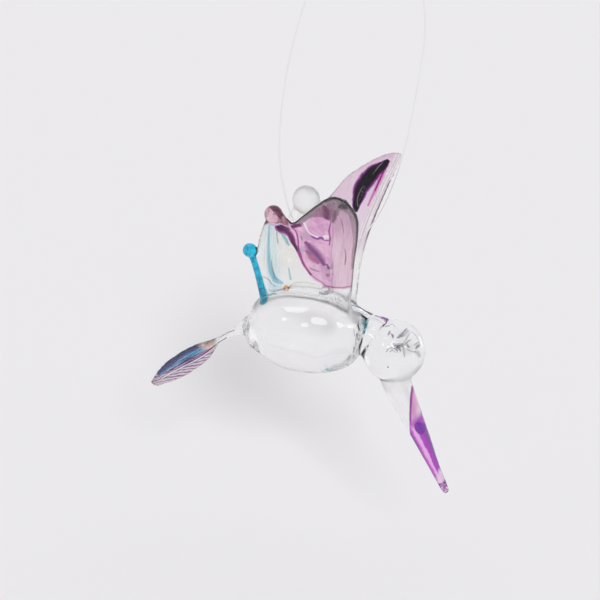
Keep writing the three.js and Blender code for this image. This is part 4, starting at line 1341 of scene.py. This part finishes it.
# %% The floor
FLOOR_DROP = 90 * MM
FLOOR_SIZE = 12.0
FLOOR_COLOUR = (0.825, 0.825, 0.825, 1)
bpy.ops.mesh.primitive_plane_add(size=FLOOR_SIZE, location=(0, 0, -HOOK_ABOVE_BODY - FLOOR_DROP))
floor = bpy.context.object
floor.name = "floor"
floor_finish = Finish("pale_floor", Base_Color=FLOOR_COLOUR, Roughness=1.0)
floor_finish.set("Specular IOR Level", 0.0)
floor.data.materials.append(floor_finish.material)
print("floor", round(-floor.location.z, 3), "m below the hook")

# %% [markdown]
# One sun with a wide face throws the soft shadow. The round lamps are there for the highlights alone:
# only glossy reflections see them, so they give the glass its bright spots and leave the floor and
# the view through the glass as they are. Each is three discs in one place, brightest in the middle,
# so its spot has a soft edge. A row has the lamp's azimuth, height and spread in degrees, and power.

# %% Sun and lamps
LAMPS = [
    [10, 37, 10, 1.6], [62, 33, 8, 1.4], [-40, 58, 8, 1.2], [-30, 28, 5, 1.2], [-8, 24, 5, 1.2],
    [140, 8, 9, 0.5],
]
LAMP_REACH = 400 * MM
LAMP_RADIANCE = 9.0
LAMP_DISCS = (1.0, 0.65, 0.35)
KEY_AZIMUTH, KEY_HEIGHT = math.radians(22.4), math.radians(24.5)
KEY_STRENGTH = 1.75
KEY_SPREAD = math.radians(12)
bpy.ops.object.light_add(type="SUN", rotation=(math.pi / 2 - KEY_HEIGHT, 0, KEY_AZIMUTH))
key = bpy.context.object
key.data.energy = KEY_STRENGTH
key.data.angle = KEY_SPREAD
key.visible_glossy = False
key.visible_transmission = False


def lamp_way(azimuth, height):
    """The direction of a lamp from the bird, from its azimuth and height in degrees."""
    turn, rise = math.radians(azimuth), math.radians(height)
    return Vector((math.sin(turn) * math.cos(rise), -math.cos(turn) * math.cos(rise), math.sin(rise)))


for azimuth, height, spread, power in LAMPS:
    out_to_lamp = lamp_way(azimuth, height)
    facing_bird = out_to_lamp.to_track_quat("Z", "Y").to_euler()
    for share in LAMP_DISCS:
        lamp_at = Vector(BODY_CENTRE) + out_to_lamp * LAMP_REACH
        bpy.ops.object.light_add(type="AREA", location=lamp_at, rotation=facing_bird)
        lamp = bpy.context.object
        lamp.data.shape = "DISK"
        lamp.data.size = 2 * LAMP_REACH * math.tan(math.radians(spread)) * share
        lamp_area = math.pi * (lamp.data.size / 2) ** 2
        lamp.data.energy = LAMP_RADIANCE * power / len(LAMP_DISCS) * math.pi * lamp_area
        lamp.visible_camera = False
        lamp.visible_diffuse = False
        lamp.visible_transmission = False
print(len(LAMPS), "lamps of", len(LAMP_DISCS), "discs each")

# %% [markdown]
# The room itself is the world's light: bright behind the bird, dimmer in front, with a soft glow
# round each lamp. Clear glass shows the room through and in itself, so this light is what gives the
# body its pale and dark bands.

# %% The light of the room
PALE = (0.823, 0.807, 0.831, 1)
FRONT_LIGHT = 0.7
FRONT_FADE = (-0.6, 0.0)
GLOW_SHARE = 0.4
GLOW_OUTER, GLOW_INNER = 1.6, 0.4
world = bpy.data.worlds.new("studio")
bpy.context.scene.world = world
world.use_nodes = True
sky = Nodes(world.node_tree)
sky_way = Value(sky, sky.node("ShaderNodeTexCoord", {}, {}).outputs["Generated"])
split = sky.node("ShaderNodeSeparateXYZ", {}, {0: sky_way})
radiance = FRONT_LIGHT + (1 - FRONT_LIGHT) * Value(sky, split.outputs["Y"]).step(*FRONT_FADE)
for azimuth, height, spread, power in LAMPS:
    lamp_inputs = (sky_way, tuple(lamp_way(azimuth, height)))
    aimed = sky.node("ShaderNodeVectorMath", {"operation": "DOT_PRODUCT"}, lamp_inputs)
    aimed = Value(sky, aimed.outputs["Value"])
    outer, inner = (math.cos(math.radians(spread * edge)) for edge in (GLOW_OUTER, GLOW_INNER))
    radiance = radiance + GLOW_SHARE * power * aimed.step(outer, inner)
backdrop = world.node_tree.nodes["Background"]
backdrop.inputs["Color"].default_value = PALE
sky.feed(backdrop.inputs["Strength"], radiance)
bpy.context.scene.view_settings.view_transform = "Standard"
print("room light of", len(world.node_tree.nodes), "nodes")
